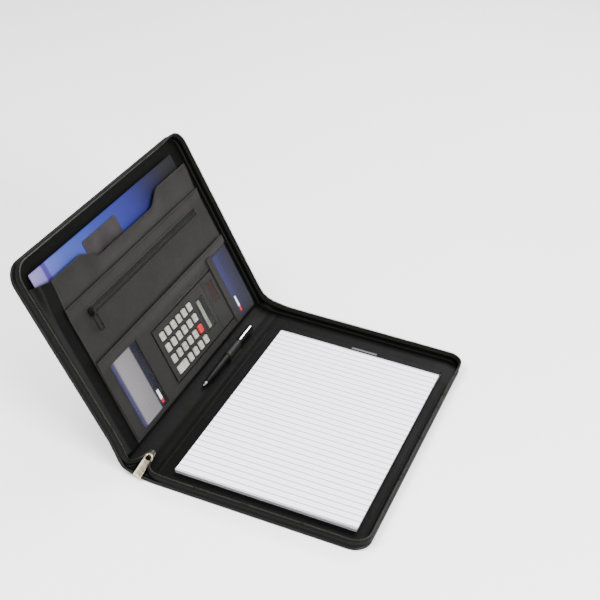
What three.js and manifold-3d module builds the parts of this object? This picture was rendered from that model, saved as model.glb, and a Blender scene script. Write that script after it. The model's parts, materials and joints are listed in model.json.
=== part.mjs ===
// A4 zip-round portfolio case, open at 121 degrees: a back half that lies flat and holds a
// writing pad, a spine that bends at two folds, and a raised front half that holds an
// organiser with pockets, cards and a calculator.
//
// Millimetres, +Z up, +Y along the spine from its near end to its far end, and +X from the
// spine to the back half's fore-edge. The origin is the centre of the back cover's underside.
//
// Every half is drawn in its own frame, which starts at its fold: "across" is the distance
// from the fold, "along" runs with the spine, and "height" is measured from the outer
// surface of the leather towards the inside of the case.

import * as THREE from 'three';
import { mergeVertices } from 'three/addons/utils/BufferGeometryUtils.js';
import Module from 'manifold-3d';

const wasm = await Module();
wasm.setup();

// ---------------------------------------------------------------- driving dimensions

const CASE_LENGTH = 366;
const COVER_WIDTH = 253;
const CORNER_RADIUS = 20;
const SPINE_WIDTH = 30;
const SPINE_RISE = THREE.MathUtils.degToRad(14);
const COVER_RISE = THREE.MathUtils.degToRad(59);

const GAP = 0.3;
const FOLD_GAP = 1.7;
const WALL_INSET = 1.5;
const WALL_THICKNESS = 1.4;
const WALL_TOP = 10;
const ZIP_TOP = 14.6;
const MITRE_CLEARANCE = 0.5;

const LEATHER = [0, 1.2];
const BOARD = [1.5, 3.0];
const LINING = [3.3, 3.9];

const PAD_WIDTH = 210;
const PAD_LENGTH = 297;
const PAD_FROM_FOLD = 24.6;
const PAD_FROM_EDGE = 22;
const PAD_BINDING = 10.5;

// The organiser's outline on the front half, and its layers' heights.
const PANEL_ACROSS = [8.8, 215.5];
const PANEL_ALONG = [33.5, 345];
const ZIP_POCKET_TOP = 180;
const LOWER_BAND_TOP = 112.3;
const LAYER_FOOT = 11.5;
const DOCUMENT_POCKET = [8.2, 9.6];
const ZIP_POCKET = [9.9, 10.9];
const LOWER_BAND = [11.8, 12.7];

const back = 1;
const front = -1;

// ---------------------------------------------------------------- geometry helpers

const middle = ([low, high]) => (low + high) / 2;
const grown = ([low, high], by) => [low - by, high + by];
const around = (centre, halfSize) => [centre - halfSize, centre + halfSize];

function arc(x, y, radius, from, to, steps = 8) {
  const points = [];
  for (let step = 0; step <= steps; step++) {
    const angle = THREE.MathUtils.degToRad(from + ((to - from) * step) / steps);
    points.push(new THREE.Vector2(x + radius * Math.cos(angle), y + radius * Math.sin(angle)));
  }
  return points;
}

function slab(side, points, height) {
  const outline = points.map((point) => new THREE.Vector2(side * point.x, point.y));
  const depth = height[1] - height[0];
  const options = { depth, bevelEnabled: false };
  return new THREE.ExtrudeGeometry(new THREE.Shape(outline), options).translate(0, 0, height[0]);
}

function block(side, across, along, height) {
  const sizes = [across, along, height].map(([low, high]) => high - low);
  const geometry = new THREE.BoxGeometry(...sizes);
  return geometry.translate(side * middle(across), middle(along), middle(height));
}

function roundedRectangle(across, along, radius, steps = 3) {
  const [left, right] = across;
  const [low, high] = along;
  return [
    ...arc(right - radius, low + radius, radius, -90, 0, steps),
    ...arc(right - radius, high - radius, radius, 0, 90, steps),
    ...arc(left + radius, high - radius, radius, 90, 180, steps),
    ...arc(left + radius, low + radius, radius, 180, 270, steps),
  ];
}

// A prism whose section is drawn across the half and upwards, and which runs along the spine.
function alongPrism(side, section, along) {
  const outline = section.map(([across, height]) => new THREE.Vector2(side * across, height));
  const depth = along[1] - along[0];
  const options = { depth, bevelEnabled: false };
  const prism = new THREE.ExtrudeGeometry(new THREE.Shape(outline), options);
  return prism.rotateX(Math.PI / 2).translate(0, along[1], 0);
}

// A turned shape on an axis along the spine: profile rows are [place along, radius].
function turned(side, across, height, profile, segments = 20) {
  const points = profile.map(([along, radius]) => new THREE.Vector2(radius, along));
  return new THREE.LatheGeometry(points, segments).translate(side * across, 0, height);
}

function solidOf(geometry) {
  const bare = geometry.clone();
  bare.deleteAttribute('normal');
  bare.deleteAttribute('uv');
  const merged = mergeVertices(bare, 1e-4);
  const mesh = new wasm.Mesh({
    numProp: 3,
    vertProperties: new Float32Array(merged.attributes.position.array),
    triVerts: new Uint32Array(merged.index.array),
  });
  return new wasm.Manifold(mesh);
}

function geometryOf(solid) {
  const mesh = solid.getMesh();
  const geometry = new THREE.BufferGeometry();
  geometry.setAttribute('position', new THREE.BufferAttribute(mesh.vertProperties, 3));
  geometry.setIndex(new THREE.BufferAttribute(mesh.triVerts, 1));
  geometry.computeVertexNormals();
  return geometry;
}

function join(...geometries) {
  return geometryOf(geometries.map(solidOf).reduce((whole, piece) => whole.add(piece)));
}

function cut(geometry, ...tools) {
  const whole = solidOf(geometry);
  return geometryOf(tools.map(solidOf).reduce((rest, tool) => rest.subtract(tool), whole));
}

function keepInside(geometry, limit) {
  return geometryOf(solidOf(geometry).intersect(solidOf(limit)));
}

function addPart(group, name, geometry, material) {
  const mesh = new THREE.Mesh(geometry, material);
  mesh.name = name;
  group.add(mesh);
}

function finish(color, roughness, metalness = 0) {
  return new THREE.MeshStandardMaterial({ color, roughness, metalness });
}

// ---------------------------------------------------------------- materials

const smoothLeather = finish(0x1d2226, 0.45);
const liningLeather = finish(0x2e2e2c, 0.6);
const greyBoard = finish(0x8b8478, 0.9);
const zipTape = finish(0x161616, 0.7);
const satinMetal = finish(0xb9ae98, 0.3, 1);
const darkMetal = finish(0x2a2a2c, 0.35, 1);
const badgeMetal = finish(0x6f7073, 0.35, 1);
const paper = finish(0xeceaf2, 0.85);
const backingCard = finish(0x77706a, 0.9);
const brochurePaper = finish(0x4a5fb8, 0.35);
const cardPaper = finish(0xb9bac6, 0.5);
const slotCardPaper = finish(0x3c3f6e, 0.4);
const clearPlastic = finish(0xdfe3e6, 0.1);
const casePlastic = finish(0x2b2a2a, 0.5);
const displayGlass = finish(0x8d9488, 0.15);
const keyPlastic = finish(0xc9ccc8, 0.5);
const redPlastic = finish(0xc22b2b, 0.45);
const penPlastic = finish(0x151517, 0.25);
const penMetal = finish(0xc8c9cc, 0.2, 1);

// ---------------------------------------------------------------- shells of both halves

// The outline of a half: square at the fold and rounded at the two fore-edge corners.
function halfOutline(inset, start) {
  const radius = CORNER_RADIUS - inset;
  const centre = COVER_WIDTH - CORNER_RADIUS;
  return [
    new THREE.Vector2(start, inset),
    ...arc(centre, CORNER_RADIUS, radius, -90, 0),
    ...arc(centre, CASE_LENGTH - CORNER_RADIUS, radius, 0, 90),
    new THREE.Vector2(start, CASE_LENGTH - inset),
  ];
}

// Each half stays on its own side of the fold's bisector, so that the case can close.
function mitred(side, geometry) {
  const high = 2 * ZIP_TOP;
  const section = [
    [MITRE_CLEARANCE, 0],
    [COVER_WIDTH, 0],
    [COVER_WIDTH, high],
    [high + MITRE_CLEARANCE, high],
  ];
  return keepInside(geometry, alongPrism(side, section, [-1, CASE_LENGTH + 1]));
}

function wall(side, height) {
  const start = FOLD_GAP;
  const outer = halfOutline(WALL_INSET, start);
  const inner = halfOutline(WALL_INSET + WALL_THICKNESS, start).reverse();
  return mitred(side, slab(side, [...outer, ...inner], height));
}

function addShell(group, side, prefix) {
  const inside = WALL_INSET + WALL_THICKNESS + GAP;
  const boardStart = BOARD[1] + MITRE_CLEARANCE;
  const liningStart = LINING[1] + MITRE_CLEARANCE;
  addPart(group, `${prefix}_board`, slab(side, halfOutline(inside, boardStart), BOARD), greyBoard);
  addPart(group, `${prefix}_lining`, slab(side, halfOutline(inside, liningStart), LINING), liningLeather);
  addPart(group, `${prefix}_gusset`, wall(side, [LEATHER[1] + GAP, WALL_TOP]), liningLeather);
  addPart(group, `${prefix}_zip_tape`, wall(side, [WALL_TOP + GAP, ZIP_TOP]), zipTape);
}

// ---------------------------------------------------------------- back half and its pad

const BACKING = [4.2, 5.0];
const PAD_POCKET = [5.3, 5.9];
const SHEETS = [6.2, 9.7];
const TOP_SHEET = [10.0, 10.3];
const BINDING_TOP = 9.4;
const PAD_POCKET_FROM_FOLD = 6.4;
const PAD_POCKET_INSET = 6.5;
const PAD_HEAD_SHOWING = 7;
const PAD_ACROSS = [PAD_FROM_FOLD, PAD_FROM_FOLD + PAD_WIDTH];
const PAD_HEAD = PAD_FROM_EDGE + PAD_LENGTH;

function addPadPocket(group) {
  const mouth = PAD_HEAD - PAD_HEAD_SHOWING;
  const side = COVER_WIDTH - PAD_POCKET_INSET;
  const corner = CORNER_RADIUS - PAD_POCKET_INSET;
  const outline = [
    new THREE.Vector2(PAD_POCKET_FROM_FOLD, PAD_POCKET_INSET),
    ...arc(side - corner, CORNER_RADIUS, corner, -90, 0),
    new THREE.Vector2(side, mouth),
    new THREE.Vector2(PAD_POCKET_FROM_FOLD, mouth),
  ];
  addPart(group, 'pad_pocket', slab(back, outline, PAD_POCKET), liningLeather);
}

// The stiff backing slides under the pocket panel, and the head binding joins it to the sheets.
function addPad(group) {
  const backing = block(back, PAD_ACROSS, [PAD_FROM_EDGE, PAD_HEAD + PAD_BINDING], BACKING);
  const bindingAlong = [PAD_HEAD + GAP, PAD_HEAD + PAD_BINDING];
  const binding = block(back, PAD_ACROSS, bindingAlong, [BACKING[0], BINDING_TOP]);
  addPart(group, 'pad_backing', join(backing, binding), backingCard);
  addPart(group, 'pad_sheets', block(back, PAD_ACROSS, [PAD_FROM_EDGE, PAD_HEAD], SHEETS), paper);
  const sheetAlong = [PAD_FROM_EDGE, PAD_HEAD - 0.5];
  addPart(group, 'writing_sheet', block(back, PAD_ACROSS, sheetAlong, TOP_SHEET), paper);
}

function addBackHalf(group) {
  addPart(group, 'back_cover', slab(back, halfOutline(0, FOLD_GAP), LEATHER), smoothLeather);
  addShell(group, back, 'back');
  addPadPocket(group);
  addPad(group);
}

// ---------------------------------------------------------------- spine, main zip end, pen

const SLIDER_ACROSS = 10.8;
const SLIDER_ALONG = [24.6, 36.6];
const SLIDER_HEIGHT = [9.8, 13.6];
const PULLER_PIVOT_ALONG = 25.6;
const PULLER_PIVOT_HEIGHT = 15;
const PULLER_DROOP = THREE.MathUtils.degToRad(22.5);
const PULLER_LENGTH = 31;
const PULLER_WIDTH = 9.5;
const PULLER_THICKNESS = 1.5;
const PULLER_NECK = 3;
const PULLER_SHOULDER = 9;
const PULLER_TAPER = 0.6;
const PEN_ACROSS = SPINE_WIDTH / 2;
const PEN_HEIGHT = 6.8;
const PEN_RADIUS = 4;
const PEN_ALONG = [169.5, 306];
const CAP_START = 265.5;
const CAP_WALL = 0.4;
const CLIP_HALF_WIDTH = 1.4;
const LOOP_ALONG = [236, 265];
const LOOP_WALL = 0.8;
const FOLD_IN_ACROSS = [2, 28];
const FOLD_IN_FOOT = [1.7, 3.7];
const FOLD_IN_POINT = [19.6, 22];
const TONGUE_HALF_WIDTH = 3.2;
const TONGUE_ALONG = [20.4, 40];
const TONGUE_HEIGHT = [8, SLIDER_HEIGHT[0] - GAP];

// The spine's end walls fold like a roof between the two mitres.
function roof(geometry) {
  const low = LEATHER[1] + GAP;
  const ridge = SPINE_WIDTH / 2 - MITRE_CLEARANCE;
  const section = [
    [low + MITRE_CLEARANCE, low],
    [SPINE_WIDTH - low - MITRE_CLEARANCE, low],
    [SPINE_WIDTH / 2, ridge],
  ];
  return keepInside(geometry, alongPrism(front, section, [-1, CASE_LENGTH + 1]));
}

// At the near end the wall folds inwards to the point where the zip starts.
function nearSpineGusset() {
  const [start, end] = FOLD_IN_ACROSS;
  const outline = [
    new THREE.Vector2(start, FOLD_IN_FOOT[0]),
    new THREE.Vector2(SLIDER_ACROSS, FOLD_IN_POINT[0]),
    new THREE.Vector2(end, FOLD_IN_FOOT[0]),
    new THREE.Vector2(end, FOLD_IN_FOOT[1]),
    new THREE.Vector2(SLIDER_ACROSS, FOLD_IN_POINT[1]),
    new THREE.Vector2(start, FOLD_IN_FOOT[1]),
  ];
  const foldedWall = roof(slab(front, outline, [LEATHER[1] + GAP, WALL_TOP]));
  const tongueAcross = around(SLIDER_ACROSS, TONGUE_HALF_WIDTH);
  return join(foldedWall, block(front, tongueAcross, TONGUE_ALONG, TONGUE_HEIGHT));
}

function farSpineGusset() {
  const along = [CASE_LENGTH - WALL_INSET - WALL_THICKNESS, CASE_LENGTH - WALL_INSET];
  return roof(block(front, [1, SPINE_WIDTH - 1], along, [LEATHER[1] + GAP, ZIP_TOP]));
}

function zipSlider() {
  const outline = roundedRectangle(around(SLIDER_ACROSS, 4.5), SLIDER_ALONG, 2.5);
  const postAlong = around(PULLER_PIVOT_ALONG, 0.9);
  const postHeight = [SLIDER_HEIGHT[0] + 1, PULLER_PIVOT_HEIGHT + 0.9];
  const post = block(front, around(SLIDER_ACROSS, 1), postAlong, postHeight);
  return join(slab(front, outline, SLIDER_HEIGHT), post);
}

// The puller tab, drawn flat along its own length with its pivot at zero, then laid to rest.
function zipPuller() {
  const half = PULLER_WIDTH / 2;
  const clearOfPost = 2;
  const corner = 1;
  const outline = [
    new THREE.Vector2(-PULLER_NECK, -clearOfPost),
    new THREE.Vector2(PULLER_NECK, -clearOfPost),
    new THREE.Vector2(half - PULLER_TAPER, -PULLER_SHOULDER),
    ...arc(half - corner, corner - PULLER_LENGTH, corner, 0, -90, 3),
    ...arc(corner - half, corner - PULLER_LENGTH, corner, 270, 180, 3),
    new THREE.Vector2(PULLER_TAPER - half, -PULLER_SHOULDER),
  ];
  const tab = slab(front, outline, around(0, PULLER_THICKNESS / 2));
  const window = roundedRectangle(around(0, 1.8), [-PULLER_SHOULDER, -4], 0.8);
  return cut(tab, slab(front, window, around(0, PULLER_THICKNESS)))
    .rotateX(PULLER_DROOP)
    .translate(front * SLIDER_ACROSS, PULLER_PIVOT_ALONG, PULLER_PIVOT_HEIGHT);
}

function penLoop() {
  const inner = PEN_RADIUS + CAP_WALL;
  const outer = inner + LOOP_WALL;
  const profile = [
    [LOOP_ALONG[0], inner],
    [LOOP_ALONG[0], outer],
    [LOOP_ALONG[1], outer],
    [LOOP_ALONG[1], inner],
    [LOOP_ALONG[0], inner],
  ];
  return turned(front, PEN_ACROSS, PEN_HEIGHT, profile);
}

function penBarrel() {
  const [tip] = PEN_ALONG;
  const profile = [
    [tip, 0],
    [tip + 0.5, 0.6],
    [tip + 3, 0.8],
    [tip + 12, 2.9],
    [tip + 30, PEN_RADIUS],
    [CAP_START - GAP, PEN_RADIUS],
    [CAP_START - GAP, 0],
  ];
  return turned(front, PEN_ACROSS, PEN_HEIGHT, profile);
}

function penCap() {
  const radius = PEN_RADIUS + CAP_WALL;
  const end = PEN_ALONG[1];
  const body = turned(front, PEN_ACROSS, PEN_HEIGHT, [
    [CAP_START, 0],
    [CAP_START, radius],
    [end - 2, radius],
    [end, radius - 2],
    [end, 0],
  ]);
  const crown = PEN_HEIGHT + radius;
  const clipAcross = around(PEN_ACROSS, CLIP_HALF_WIDTH);
  const clip = block(front, clipAcross, [CAP_START + 4, end - 4], [crown - 0.6, crown + 1.2]);
  return join(body, clip);
}

function addSpine(group) {
  const across = [FOLD_GAP, SPINE_WIDTH - FOLD_GAP];
  addPart(group, 'spine_cover', block(front, across, [0, CASE_LENGTH], LEATHER), smoothLeather);
  addPart(group, 'spine_gusset_near', nearSpineGusset(), liningLeather);
  addPart(group, 'spine_gusset_far', farSpineGusset(), liningLeather);
  addPart(group, 'zip_slider', zipSlider(), satinMetal);
  addPart(group, 'zip_puller', zipPuller(), satinMetal);
  addPart(group, 'pen_loop', penLoop(), liningLeather);
  addPart(group, 'pen_barrel', penBarrel(), penPlastic);
  addPart(group, 'pen_cap', penCap(), penMetal);
}

// ---------------------------------------------------------------- front half's cover

const EDGE_STRIP_START = 211;
const BADGE_SIZE = 9.5;
const BADGE_FROM_EDGE = 22;
const BADGE = [-1.1, -GAP];

function addFrontCover(group) {
  const whole = slab(front, halfOutline(0, FOLD_GAP), LEATHER);
  const everyLength = [-1, CASE_LENGTH + 1];
  const throughLeather = grown(LEATHER, 1);
  const beyondSeam = block(front, [EDGE_STRIP_START, COVER_WIDTH + 1], everyLength, throughLeather);
  const beforeSeam = block(front, [0, EDGE_STRIP_START + GAP], everyLength, throughLeather);
  addPart(group, 'front_cover', cut(whole, beyondSeam), smoothLeather);
  addPart(group, 'front_edge_strip', cut(whole, beforeSeam), smoothLeather);
  const badgeAcross = around(COVER_WIDTH - BADGE_FROM_EDGE, BADGE_SIZE / 2);
  const badgeAlong = around(BADGE_FROM_EDGE, BADGE_SIZE / 2);
  const badge = slab(front, roundedRectangle(badgeAcross, badgeAlong, 1), BADGE);
  addPart(group, 'front_badge', badge, badgeMetal);
}

// ---------------------------------------------------------------- organiser on the front half

const BROCHURE_ACROSS = [14, 234];
const BROCHURE_ALONG = [17, 333];
const BROCHURE = [7.0, 7.9];

const SCOOP_DEPTH = 14.7;
const SCOOP_NEAR = [92.6, 124];
const SCOOP_FAR = [240.7, 275];
const RETURN_THICKNESS = 2;

const ZIP_SLOT_ACROSS = [153.8, 163.4];
const ZIP_SLOT_ALONG = [63, 321];
const ZIP_SLOT_FLOOR = 10.4;

const WINDOW_ACROSS = [15.5, 98.6];
const WINDOW_ALONG = [49, 107];
const CARD_LENGTH = 85;
const BUSINESS_CARD_ALONG = [51, 106];
const BUSINESS_CARD = [11.2, 11.5];

const CALCULATOR_ACROSS = [19.8, 91.2];
const CALCULATOR_ALONG = [134.8, 289.2];
const CALCULATOR = [9.9, 13.2];

const SLOT_ACROSS = [12.8, 102];
const SLOT_START = 289.9;
const SLOT_STEP = 14;
const SLOT_COUNT = 3;
const SLOT_CARD_ACROSS = [14.1, 14.1 + CARD_LENGTH];
const SLOT_CARD_THICKNESS = 0.35;
const SLOT_LEVEL = 1.3;
const SLOT_LOWEST_CARD = 10.5;
const SLOT_FLOOR_TOP = 10.2;

// The pocket for papers: a sheet with a shallow scoop, closed at its foot and its far side.
function documentPocket() {
  const [foot, top] = PANEL_ACROSS;
  const [near, far] = PANEL_ALONG;
  const dip = top - SCOOP_DEPTH;
  const outline = new THREE.Shape();
  outline.moveTo(-foot, near);
  outline.lineTo(-top, near);
  outline.lineTo(-top, SCOOP_NEAR[0]);
  outline.bezierCurveTo(-top, middle(SCOOP_NEAR), -dip, middle(SCOOP_NEAR), -dip, SCOOP_NEAR[1]);
  outline.lineTo(-dip, SCOOP_FAR[0]);
  outline.bezierCurveTo(-dip, middle(SCOOP_FAR), -top, middle(SCOOP_FAR), -top, SCOOP_FAR[1]);
  outline.lineTo(-top, far);
  outline.lineTo(-foot, far);
  const depth = DOCUMENT_POCKET[1] - DOCUMENT_POCKET[0];
  const options = { depth, bevelEnabled: false, curveSegments: 8 };
  const sheet = new THREE.ExtrudeGeometry(outline, options).translate(0, 0, DOCUMENT_POCKET[0]);
  const down = [LINING[1] + GAP, DOCUMENT_POCKET[1]];
  const footReturn = block(front, [foot, foot + RETURN_THICKNESS], PANEL_ALONG, down);
  const sideReturn = block(front, [foot, ZIP_POCKET_TOP], [far - RETURN_THICKNESS, far], down);
  return join(sheet, footReturn, sideReturn);
}

function calculatorHole(height) {
  return block(front, grown(CALCULATOR_ACROSS, GAP), grown(CALCULATOR_ALONG, GAP), height);
}

function zipPocket() {
  const base = block(front, [LAYER_FOOT, ZIP_POCKET_TOP], grown(PANEL_ALONG, -0.5), ZIP_POCKET);
  const above = ZIP_POCKET[1] + 1;
  const slot = block(front, ZIP_SLOT_ACROSS, ZIP_SLOT_ALONG, [ZIP_SLOT_FLOOR, above]);
  const through = [ZIP_POCKET[0] - 1, above];
  const slotHole = block(front, [0, SLOT_ACROSS[1] + GAP], [SLOT_START - GAP, PANEL_ALONG[1] + 1], through);
  return cut(base, slot, calculatorHole(through), slotHole);
}

// Slot 1 is the top one and has its mouth nearest the calculator.
function slotCard(number) {
  const level = SLOT_LOWEST_CARD + (SLOT_COUNT - number) * SLOT_LEVEL;
  return {
    across: SLOT_CARD_ACROSS,
    along: [SLOT_START + 0.6, SLOT_START + 12 + number * SLOT_STEP],
    height: [level, level + SLOT_CARD_THICKNESS],
  };
}

// The lower band: a leather face with a window, the calculator's opening and the card slots.
function lowerBand() {
  const face = block(front, [LAYER_FOOT, LOWER_BAND_TOP], grown(PANEL_ALONG, -0.5), LOWER_BAND);
  const through = [LOWER_BAND[0] - 1, LOWER_BAND[1] + 1];
  const window = block(front, WINDOW_ACROSS, WINDOW_ALONG, through);
  const slotHole = block(front, [0, SLOT_ACROSS[1]], [SLOT_START, PANEL_ALONG[1] + 1], through);
  const steps = [];
  const cavities = [];
  for (let number = 1; number <= SLOT_COUNT; number++) {
    const card = slotCard(number);
    const leatherTop = card.height[1] + 2 * GAP;
    const mouth = card.along[1] - SLOT_STEP;
    steps.push(block(front, SLOT_ACROSS, [SLOT_START, mouth], [ZIP_POCKET[0], leatherTop]));
    const beyond = [card.along[0] - GAP, PANEL_ALONG[1] + 1];
    cavities.push(block(front, grown(card.across, GAP), beyond, grown(card.height, GAP)));
  }
  const slotEnd = PANEL_ALONG[1] - 0.5;
  const floor = block(front, SLOT_ACROSS, [SLOT_START, slotEnd], [ZIP_POCKET[0], SLOT_FLOOR_TOP]);
  const sideAlong = [SLOT_START + 1, slotEnd - 0.5];
  const [, side] = SLOT_ACROSS;
  const bridge = block(front, [side - 1, side + 2], sideAlong, [ZIP_POCKET[1] + GAP, LOWER_BAND[1]]);
  const riser = block(front, [side - 1, side], sideAlong, [ZIP_POCKET[0], LOWER_BAND[1]]);
  const openFace = cut(face, window, calculatorHole(through), slotHole);
  return cut(join(openFace, bridge, riser, floor, ...steps), ...cavities);
}

function addCards(group) {
  const film = [LOWER_BAND[0], LOWER_BAND[0] + 0.4];
  const window = block(front, grown(WINDOW_ACROSS, -GAP), grown(WINDOW_ALONG, -GAP), film);
  addPart(group, 'card_window', window, clearPlastic);
  const cardAcross = around(middle(WINDOW_ACROSS), CARD_LENGTH / 2);
  const businessCard = block(front, cardAcross, BUSINESS_CARD_ALONG, BUSINESS_CARD);
  addPart(group, 'business_card', businessCard, cardPaper);
  for (let number = 1; number <= SLOT_COUNT; number++) {
    const { across, along, height } = slotCard(number);
    addPart(group, `slot_card_${number}`, block(front, across, along, height), slotCardPaper);
  }
}

// ---------------------------------------------------------------- pocket zip

const POCKET_SLIDER_ACROSS = middle(ZIP_SLOT_ACROSS);
const POCKET_SLIDER_ALONG = [64, 73];
const POCKET_SLIDER = [10.7, 12.6];
const LOOP_PIVOT_ACROSS = POCKET_SLIDER_ACROSS - 1.6;
const LOOP_PIVOT_HEIGHT = 13.7;
const LOOP_HALF_WIDTH = 4.5;
const WIRE = 1.3;

function pocketZipSlider() {
  const outline = roundedRectangle(around(POCKET_SLIDER_ACROSS, 4), POCKET_SLIDER_ALONG, 2);
  const body = slab(front, outline, POCKET_SLIDER);
  const postAlong = around(middle(POCKET_SLIDER_ALONG), 1.5);
  const postHeight = [POCKET_SLIDER[0] + 1, LOOP_PIVOT_HEIGHT + 0.9];
  const post = block(front, around(LOOP_PIVOT_ACROSS, 1), postAlong, postHeight);
  return join(body, post);
}

// A wire loop that hangs towards the spine and turns about an axis along the zip.
function pocketZipPuller() {
  const along = middle(POCKET_SLIDER_ALONG);
  const reach = [LOOP_PIVOT_ACROSS - 22, LOOP_PIVOT_ACROSS - 1.6];
  const height = around(LOOP_PIVOT_HEIGHT, WIRE / 2);
  const outer = roundedRectangle(reach, around(along, LOOP_HALF_WIDTH), 2);
  const inner = roundedRectangle(grown(reach, -WIRE), around(along, LOOP_HALF_WIDTH - WIRE), 1.2);
  return cut(slab(front, outer, height), slab(front, inner, grown(height, 1)));
}

// ---------------------------------------------------------------- calculator

const KEY_PITCH_ALONG = 13.6;
const KEY_PITCH_ACROSS = 15.2;
const FIRST_KEY_ALONG = 150.1;
const FIRST_KEY_ACROSS = 31;
const KEY_COLUMNS = 6;
const KEY_ROWS = 4;
const KEY_SIZE = [11, 9];
const UNDER_DOUBLE_KEY = 'key_1_2';
const KEY = [12.2, 14.6];
const KEY_CLEARANCE = 0.35;
const WELL_FLOOR = 11.1;
const DISPLAY_ACROSS = [35.3, 75.8];
const DISPLAY_ALONG = [230, 250];
const DISPLAY = [12.6, 13.3];

// Row 1 is nearest the spine and starts with a double key; the red key is in row 2.
function calculatorKeys() {
  const keys = [];
  for (let row = 1; row <= KEY_ROWS; row++) {
    for (let column = 1; column <= KEY_COLUMNS; column++) {
      const isDouble = row === 1 && column === 1;
      const isRed = row === 2 && column === KEY_COLUMNS;
      const across = FIRST_KEY_ACROSS + (row - 1) * KEY_PITCH_ACROSS;
      const along = FIRST_KEY_ALONG + (column - 1 + (isDouble ? 0.5 : 0)) * KEY_PITCH_ALONG;
      const halfAlong = (KEY_SIZE[1] + (isDouble ? KEY_PITCH_ALONG : 0)) / 2;
      const extra = isRed ? 0.5 : 0;
      keys.push({
        name: `key_${row}_${column}`,
        across: around(across, KEY_SIZE[0] / 2 + extra),
        along: around(along, halfAlong + extra),
        radius: isRed ? 2.6 : 1.4,
        material: isRed ? redPlastic : keyPlastic,
      });
    }
  }
  return keys.filter((key) => key.name !== UNDER_DOUBLE_KEY);
}

function addCalculator(group) {
  const keys = calculatorKeys();
  const body = slab(front, roundedRectangle(CALCULATOR_ACROSS, CALCULATOR_ALONG, 3), CALCULATOR);
  const above = CALCULATOR[1] + 1;
  const wells = keys.map((key) => {
    const across = grown(key.across, KEY_CLEARANCE);
    const along = grown(key.along, KEY_CLEARANCE);
    return slab(front, roundedRectangle(across, along, key.radius), [WELL_FLOOR, above]);
  });
  const recessHeight = [DISPLAY[0] - GAP, above];
  const recess = block(front, grown(DISPLAY_ACROSS, GAP), grown(DISPLAY_ALONG, GAP), recessHeight);
  addPart(group, 'calculator_case', cut(body, recess, ...wells), casePlastic);
  const display = block(front, DISPLAY_ACROSS, DISPLAY_ALONG, DISPLAY);
  addPart(group, 'calculator_display', display, displayGlass);
  for (const key of keys) {
    const cap = slab(front, roundedRectangle(key.across, key.along, key.radius), KEY);
    addPart(group, key.name, cap, key.material);
  }
}

function addFrontHalf(group) {
  addFrontCover(group);
  addShell(group, front, 'front');
  addPart(group, 'brochure', block(front, BROCHURE_ACROSS, BROCHURE_ALONG, BROCHURE), brochurePaper);
  addPart(group, 'document_pocket', documentPocket(), liningLeather);
  addPart(group, 'zip_pocket', zipPocket(), liningLeather);
  addPart(group, 'lower_band', lowerBand(), liningLeather);
  addCards(group);
  addPart(group, 'pocket_zip_slider', pocketZipSlider(), darkMetal);
  addPart(group, 'pocket_zip_puller', pocketZipPuller(), darkMetal);
  addCalculator(group);
}

// ---------------------------------------------------------------- assembly

const portfolio = new THREE.Group();
portfolio.position.set(-(FOLD_GAP + COVER_WIDTH) / 2, -CASE_LENGTH / 2, 0);

const backHalf = new THREE.Group();
addBackHalf(backHalf);

const spine = new THREE.Group();
spine.rotation.y = SPINE_RISE;
addSpine(spine);

const frontHalf = new THREE.Group();
frontHalf.position.set(-SPINE_WIDTH * Math.cos(SPINE_RISE), 0, SPINE_WIDTH * Math.sin(SPINE_RISE));
frontHalf.rotation.y = COVER_RISE;
addFrontHalf(frontHalf);

portfolio.add(backHalf, spine, frontHalf);

export default portfolio;
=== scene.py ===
import json
import math
import random

import bmesh
import bpy
import numpy as np
from mathutils import Matrix, Vector, noise

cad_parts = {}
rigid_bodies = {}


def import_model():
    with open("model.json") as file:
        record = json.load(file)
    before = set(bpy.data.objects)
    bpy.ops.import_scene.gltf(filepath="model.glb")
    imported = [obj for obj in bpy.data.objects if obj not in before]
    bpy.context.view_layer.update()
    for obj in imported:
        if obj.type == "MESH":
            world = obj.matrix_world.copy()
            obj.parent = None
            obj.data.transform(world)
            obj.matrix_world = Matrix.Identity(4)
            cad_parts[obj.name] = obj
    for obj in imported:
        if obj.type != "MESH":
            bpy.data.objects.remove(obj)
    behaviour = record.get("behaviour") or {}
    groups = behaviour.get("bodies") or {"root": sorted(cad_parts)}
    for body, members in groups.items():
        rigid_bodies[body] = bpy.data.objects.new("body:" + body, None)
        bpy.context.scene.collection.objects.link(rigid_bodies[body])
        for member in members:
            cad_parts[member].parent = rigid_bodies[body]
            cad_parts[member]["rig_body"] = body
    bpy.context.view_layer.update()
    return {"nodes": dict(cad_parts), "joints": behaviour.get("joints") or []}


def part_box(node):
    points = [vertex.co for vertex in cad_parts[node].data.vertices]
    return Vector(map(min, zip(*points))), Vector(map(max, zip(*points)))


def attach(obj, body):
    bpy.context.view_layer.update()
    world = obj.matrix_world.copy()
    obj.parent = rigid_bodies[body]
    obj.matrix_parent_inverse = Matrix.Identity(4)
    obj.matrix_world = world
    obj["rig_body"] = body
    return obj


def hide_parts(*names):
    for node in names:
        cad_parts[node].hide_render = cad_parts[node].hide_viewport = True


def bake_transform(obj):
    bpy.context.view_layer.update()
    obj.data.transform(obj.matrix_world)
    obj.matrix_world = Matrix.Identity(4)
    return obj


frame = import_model()

# The looks of a zip-round A4 portfolio case. Shapes are drawn in the "unrolled" case, in
# millimetres: u runs across from the back fold towards the back half's fore-edge (the spine
# and the front half lie at negative u), "along" runs with the spine from its near end, and
# "height" is measured from the outer leather inwards. The two folds then bend the whole.
# "across" is a distance from a half's own fold towards its fore-edge.

MM = 0.001
UP = Vector((0, 0, 1))

# ------------------------------------------------------------------ the frame's sizes

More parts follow.
